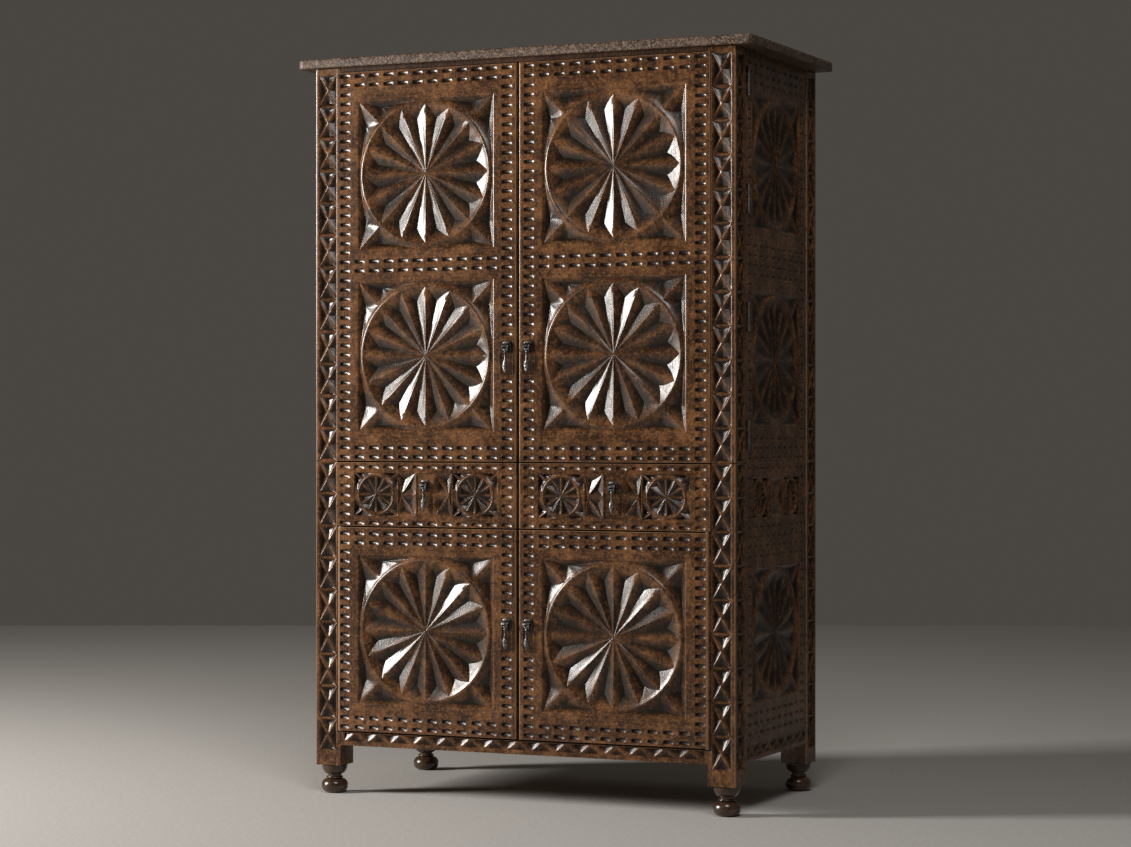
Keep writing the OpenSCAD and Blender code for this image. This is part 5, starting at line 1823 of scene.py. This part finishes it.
@dataclass
class TurnedFeet:
    """Four turned bun feet."""

    ball: float = 36.5
    neck: float = 18.5
    ring: float = 23.0
    cup: float = 35.0
    bead: float = 3.1
    height: float = 78.0

    def profile(self) -> list[Pair]:
        """Radius and height of a foot, point by point."""
        half = self.ball / 2
        low = self.height / 4
        ring_z, cup_z, top = 0.54 * self.height, 0.65 * self.height, self.height - 3.0
        points = [(0.5, 0.0), (half, 0.0), *arc((half, low), (half, low), -80, 10, 15)]
        points.append((self.neck + 1.0, ring_z - self.bead))
        points += arc((self.neck, ring_z), (self.ring - self.neck, self.bead), -90, 22.5, 9)
        points.append((self.neck, cup_z))
        points += arc((self.neck, top), (self.cup - self.neck, top - cup_z), -70, 10, 8)
        return [*points, (self.cup, self.height - 0.8), (self.cup - 0.8, self.height), (0.5, self.height)]

    def build(self, finishes: Finishes) -> None:
        """Build the feet in one piece."""
        low, high = node_box("feet")
        timber = Timber()
        for x in (low.x + self.ball, high.x - self.ball):
            for y in (low.y + self.ball, high.y - self.ball):
                timber.turn(self.profile(), Vector((x, y, 0)), Axis.Z, 56)
        made = timber.finish("turned_feet", finishes.walnut_dark, sharp=50)
        settle(made, "cabinet", "walnut_dark", "feet")


@dataclass
class DropPull:
    """A forged pull: a hood on a plate, and a drop that swings in it."""

    name: str
    rise: float = 22.0
    reach: float = 11.0
    leaf_top: float = -28.0
    sunk: float = 1.5
    corners: tuple[tuple[float, float, float, float], ...] = ((8.5, -4.5, 3.5, 270), (5.5, 15.5, 6.5, 0),
                                                              (-5.5, 15.5, 6.5, 90), (-8.5, -4.5, 3.5, 180))
    axle: tuple[Pair, ...] = ((0.3, -10.6), (1.6, -10.3), (2.4, -9.5), (2.4, -9.0), (2.0, -8.9), (2.0, 8.9),
                              (2.4, 9.0), (2.4, 9.5), (1.6, 10.3), (0.3, 10.6))
    eye: tuple[Pair, ...] = ((2.1, -4.7), (3.8, -4.7), (4.7, -3.8), (5.0, -2.0), (5.0, 2.0), (4.7, 3.8),
                             (3.8, 4.7), (2.1, 4.7))
    stations: tuple[Point, ...] = ((-3, 3.0, 3.0), (-6, 4.0, 3.7), (-8.5, 3.7, 3.4), (-10.5, 2.3, 2.3),
                                   (-13, 2.1, 2.1), (-20, 2.3, 2.3), (-26, 2.7, 2.4), (-29, 3.7, 2.4),
                                   (-33, 5.8, 2.3), (-38, 7.3, 2.2), (-43, 7.6, 2.2), (-49, 6.8, 2.2),
                                   (-54, 5.2, 2.1), (-58, 3.4, 1.9), (-60.3, 1.7, 1.3), (-61, 0.6, 0.5))
    cheek: tuple[Pair, ...] = ((9.0, 17.0), (4.0, 16.4), (0.0, 14.4), (-2.8, 11.5), (-4.4, 7.0), (-5.4, 2.5),
                               (-5.5, 0.0), (-4.8, -2.8), (-2.8, -4.8), (0.5, -6.0), (5.0, -7.2), (9.0, -8.0))
    roof: tuple[Pair, ...] = ((9.0, 17.3), (4.0, 16.7), (0.0, 14.7), (-3.1, 11.7), (-4.8, 7.0), (-2.6, 6.8),
                              (-1.4, 10.4), (1.2, 12.6), (4.6, 14.2), (9.0, 14.8))

    def build(self, finishes: Finishes) -> None:
        """Build the plate and the drop."""
        node = f"{self.name}_pull_plate"
        low, high = node_box(node)
        axis = Vector(((low.x + high.x) / 2, high.y - self.reach, high.z - self.rise))
        plate = self.plate(axis).finish(f"{self.name}_pull_hood", finishes.iron, sharp=35)
        settle(plate, frame["nodes"][node]["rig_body"], "iron", node)
        node = f"{self.name}_drop"
        drop = self.drop(axis).finish(f"{self.name}_pull_leaf", finishes.iron, sharp=50)
        settle(drop, frame["nodes"][node]["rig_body"], "iron", node)

    def plate(self, axis: Vector) -> Timber:
        """Forge the plate, its cheeks and the hood over the axle."""
        made = Timber()

        def outline(rise: float, blunt: float) -> list[Vector]:
            """Outline of the plate at a height over the wood's face."""
            points = []
            for x, z, radius, start in self.corners:
                r = radius - blunt
                points += [axis + Vector((a, self.reach - rise, b)) for a, b in arc((x, z), (r, r), start, 22.5, 5)]
            return points

        made.loft([outline(rise, blunt) for rise, blunt in ((-self.sunk, 0), (1.7, 0), (2.3, 0.3), (2.6, 1.0))])
        for x0, x1 in ((-9.2, -5.1), (5.1, 9.2)):
            made.prism(self.cheek, axis, x0, x1, 0.6)
        made.prism(self.roof, axis, -9.8, 9.8, 0.5)
        made.turn(self.axle, axis, Axis.X, 16)
        return made

    def drop(self, axis: Vector) -> Timber:
        """Forge the eye, the stem and the hammered leaf."""
        made = Timber()
        made.turn(self.eye, axis, Axis.X, 24, capped=False)
        rings = []
        for (z0, a0, b0), (z1, a1, b1) in zip(self.stations, self.stations[1:]):
            steps = max(1, round(z0 - z1))
            for k in range(steps):
                t = k / steps
                ease = t * t * (3 - 2 * t)
                rings.append((z0 + (z1 - z0) * t, a0 + (a1 - a0) * ease, b0 + (b1 - b0) * ease))
        rings.append(self.stations[-1])
        made.loft([self.ring(axis, *ring) for ring in rings])
        return made

    def ring(self, axis: Vector, z: float, half_width: float, half_depth: float) -> list[Vector]:
        """One ring of the stem or the leaf, hammered where it is wide."""
        points = []
        for k in range(24):
            t = math.tau * k / 24
            place = axis + Vector((half_width * math.cos(t), half_depth * math.sin(t), z))
            if half_width > 3.5 and z < self.leaf_top:
                dent = noise.noise(place / 2.6) * 0.7 + noise.noise(place / 6) * 0.5
                place -= Vector((0.3 * math.cos(t), math.sin(t), 0)) * max(0.0, dent)
            points.append(place)
        return points


@dataclass(frozen=True)
class Lamp:
    """An area lamp in metres and watts."""

    name: str
    at: Point
    target: Point
    size: Pair
    power: float
    colour: Colour = (1, 1, 1)

    def build(self) -> None:
        """Add the lamp, turned to its target."""
        data = bpy.data.lights.new(self.name, "AREA")
        data.shape = "RECTANGLE"
        data.size, data.size_y = self.size
        data.energy = self.power
        data.color = self.colour
        made = add_object(self.name, data)
        made.location = self.at
        made.rotation_euler = (Vector(self.target) - Vector(self.at)).to_track_quat("-Z", "Y").to_euler()


@dataclass(frozen=True)
class Stage:
    """Floor, lights and camera, in metres."""

    camera_at: Point = (3.135, -7.00475, 1.008)
    camera_turn: float = math.radians(24.12)
    lens: float = 89.16
    floor_half: float = 6.3
    floor_dark: Colour = (0.43, 0.41, 0.385)
    floor_light: Colour = (0.48, 0.46, 0.435)
    ambient: Colour = (0.068, 0.061, 0.054)
    lamps: tuple[Lamp, ...] = (
        Lamp("key", (-4.63, -2.85, 2.14), (0, -0.3, 1.1), (1.0, 1.5), 440.0, (1.0, 0.97, 0.93)),
        Lamp("high", (1.61, -2.88, 4.14), (0, -0.3, 1.1), (1.4, 1.4), 75.0))

    def build(self) -> None:
        """Set up the stage."""
        self.camera()
        self.floor()
        for lamp in self.lamps:
            lamp.build()
        self.world()

    def camera(self) -> None:
        """Add the camera of the photograph."""
        data = bpy.data.cameras.new("camera")
        data.lens = self.lens
        data.sensor_width = 36.0
        data.sensor_fit = "HORIZONTAL"
        made = add_object("camera", data)
        made.location = self.camera_at
        made.rotation_euler = (math.radians(90), 0, self.camera_turn)
        bpy.context.scene.camera = made

    def floor(self) -> None:
        """Add the pale floor, square to the camera."""
        shader = Shader("floor")
        speckle = shader.noise(shader.stretched((1, 1, 1)), 90.0, 5.0)
        colour = shader.mix(shader.ramp(speckle, 0.35, 0.65), (*self.floor_dark, 1), (*self.floor_light, 1))
        shader.set(Base_Color=colour, Roughness=0.8)
        turn = Matrix.Rotation(self.camera_turn, 4, "Z")
        corners = [turn @ Vector((self.floor_half * x, self.floor_half * y, 0))
                   for x, y in ((-1, -1), (1, -1), (1, 1), (-1, 1))]
        mesh = bpy.data.meshes.new("floor")
        mesh.from_pydata([corner[:] for corner in corners], [], [(0, 1, 2, 3)])
        mesh.materials.append(shader.material)
        add_object("floor", mesh)

    def world(self) -> None:
        """Add the room's soft light."""
        world = bpy.data.worlds.new("world")
        world.use_nodes = True
        background = world.node_tree.nodes["Background"]
        background.inputs[0].default_value = (*self.ambient, 1)
        background.inputs[1].default_value = 1.0
        bpy.context.scene.world = world
        bpy.context.scene.view_settings.view_transform = "Standard"


class Cabinet:
    """The whole cabinet."""

    def __init__(self) -> None:
        """Prepare finishes and tools."""
        self.finishes = Finishes()
        self.maker = CarvedRun()
        self.case_front = node_box("lower_post_front_right")[0].y

    def build(self) -> None:
        """Build every piece and dress what stays of the CAD."""
        self.dress_nodes()
        for hand in (-1, 1):
            self.doors(hand)
            DrawerFront(hand, seed=21 + hand).build(self.maker, self.finishes)
            self.sides(hand)
            self.posts(hand)
        self.aprons()
        TopSlab().build(self.finishes)
        TurnedFeet().build(self.finishes)
        for name in ("upper_left", "upper_right", "lower_left", "lower_right", "left_drawer", "right_drawer"):
            DropPull(name).build(self.finishes)

    def dress_nodes(self) -> None:
        """Give every CAD node its finish."""
        for part in frame["record"]["subparts"]:
            mesh = frame["nodes"][part["node"]].data
            mesh.materials.clear()
            mesh.materials.append(self.finishes.of_slot(part["material_slot"]))

    def doors(self, hand: int) -> None:
        """Build the upper and the lower door of one side."""
        upper = Door(Case.UPPER, hand, rows=42, top_margin=11.5, bottom_margin=10.5, row_pairs=(0, 20, 40),
                     panel_middles=(1188.5, 1678.5), pull_rows=(9, 12), seed=3 + hand)
        lower = Door(Case.LOWER, hand, rows=22, top_margin=17.0, bottom_margin=11.0, row_pairs=(0, 20),
                     panel_middles=(451.0,), pull_rows=(9, 12), seed=7 + hand)
        for door in (upper, lower):
            door.build(self.maker, self.finishes)

    def sides(self, hand: int) -> None:
        """Build the side panels of one side."""
        upper = SidePanel(Case.UPPER, hand, pitch_row=25.07, first_row=917.0, rows=42,
                          full_rows=(0, 1, 2, 19, 20, 21, 22, 39, 40, 41),
                          rosettes=((1176.0, 2, 19), (1690.0, 22, 39)))
        lower = SidePanel(Case.LOWER, hand, pitch_row=25.48, first_row=202.0, rows=28,
                          full_rows=(0, 1, 2, 18, 19, 20, 21, 27), rosettes=((454.0, 2, 18),),
                          band_rows=(21, 27), seed=12.0)
        for panel in (upper, lower):
            panel.build(self.maker, self.finishes, self.case_front)

    def posts(self, hand: int) -> None:
        """Build the four posts of one side."""
        side = side_word(hand)
        for is_front in (True, False):
            end = "front" if is_front else "back"
            upper = CornerPost(f"upper_post_{end}_{side}", f"upper_{side}_door" if is_front else "cabinet", hand,
                               is_front, units=12, plain_below=0.5, plain_above=15.0 if is_front else 17.0,
                               notch=(9.0, 15.0) if is_front else None, seed=2 + hand)
            lower = CornerPost(f"lower_post_{end}_{side}", "cabinet", hand, is_front, units=9, plain_below=40.0,
                               plain_above=0.5, notch=(10.0, 16.0) if is_front else None, seed=5 + hand)
            for post in (upper, lower):
                post.build(self.maker, self.finishes)

    def aprons(self) -> None:
        """Build the front apron and the side aprons."""
        low, high = node_box("front_apron")
        reach = node_box("lower_post_front_right")[0].x
        Apron(front_plane(low.y), -reach, reach, low.z, high.z, 15).build(
            "front_apron_zigzag", "front_apron", self.maker, self.finishes)
        low, high = node_box("side_aprons")
        for hand in (-1, 1):
            start, end = sorted((hand * (low.y + 8), hand * (high.y - 8)))
            Apron(side_plane(high.x, hand), start, end, low.z, high.z, 7).build(
                f"side_apron_{side_word(hand)}", "side_aprons", self.maker, self.finishes)


def main() -> None:
    """Build the cabinet and its stage."""
    logging.basicConfig(level=logging.INFO, format="%(message)s")
    noise.seed_set(1)
    Stage().build()
    Cabinet().build()


if __name__ == "__main__":
    main()
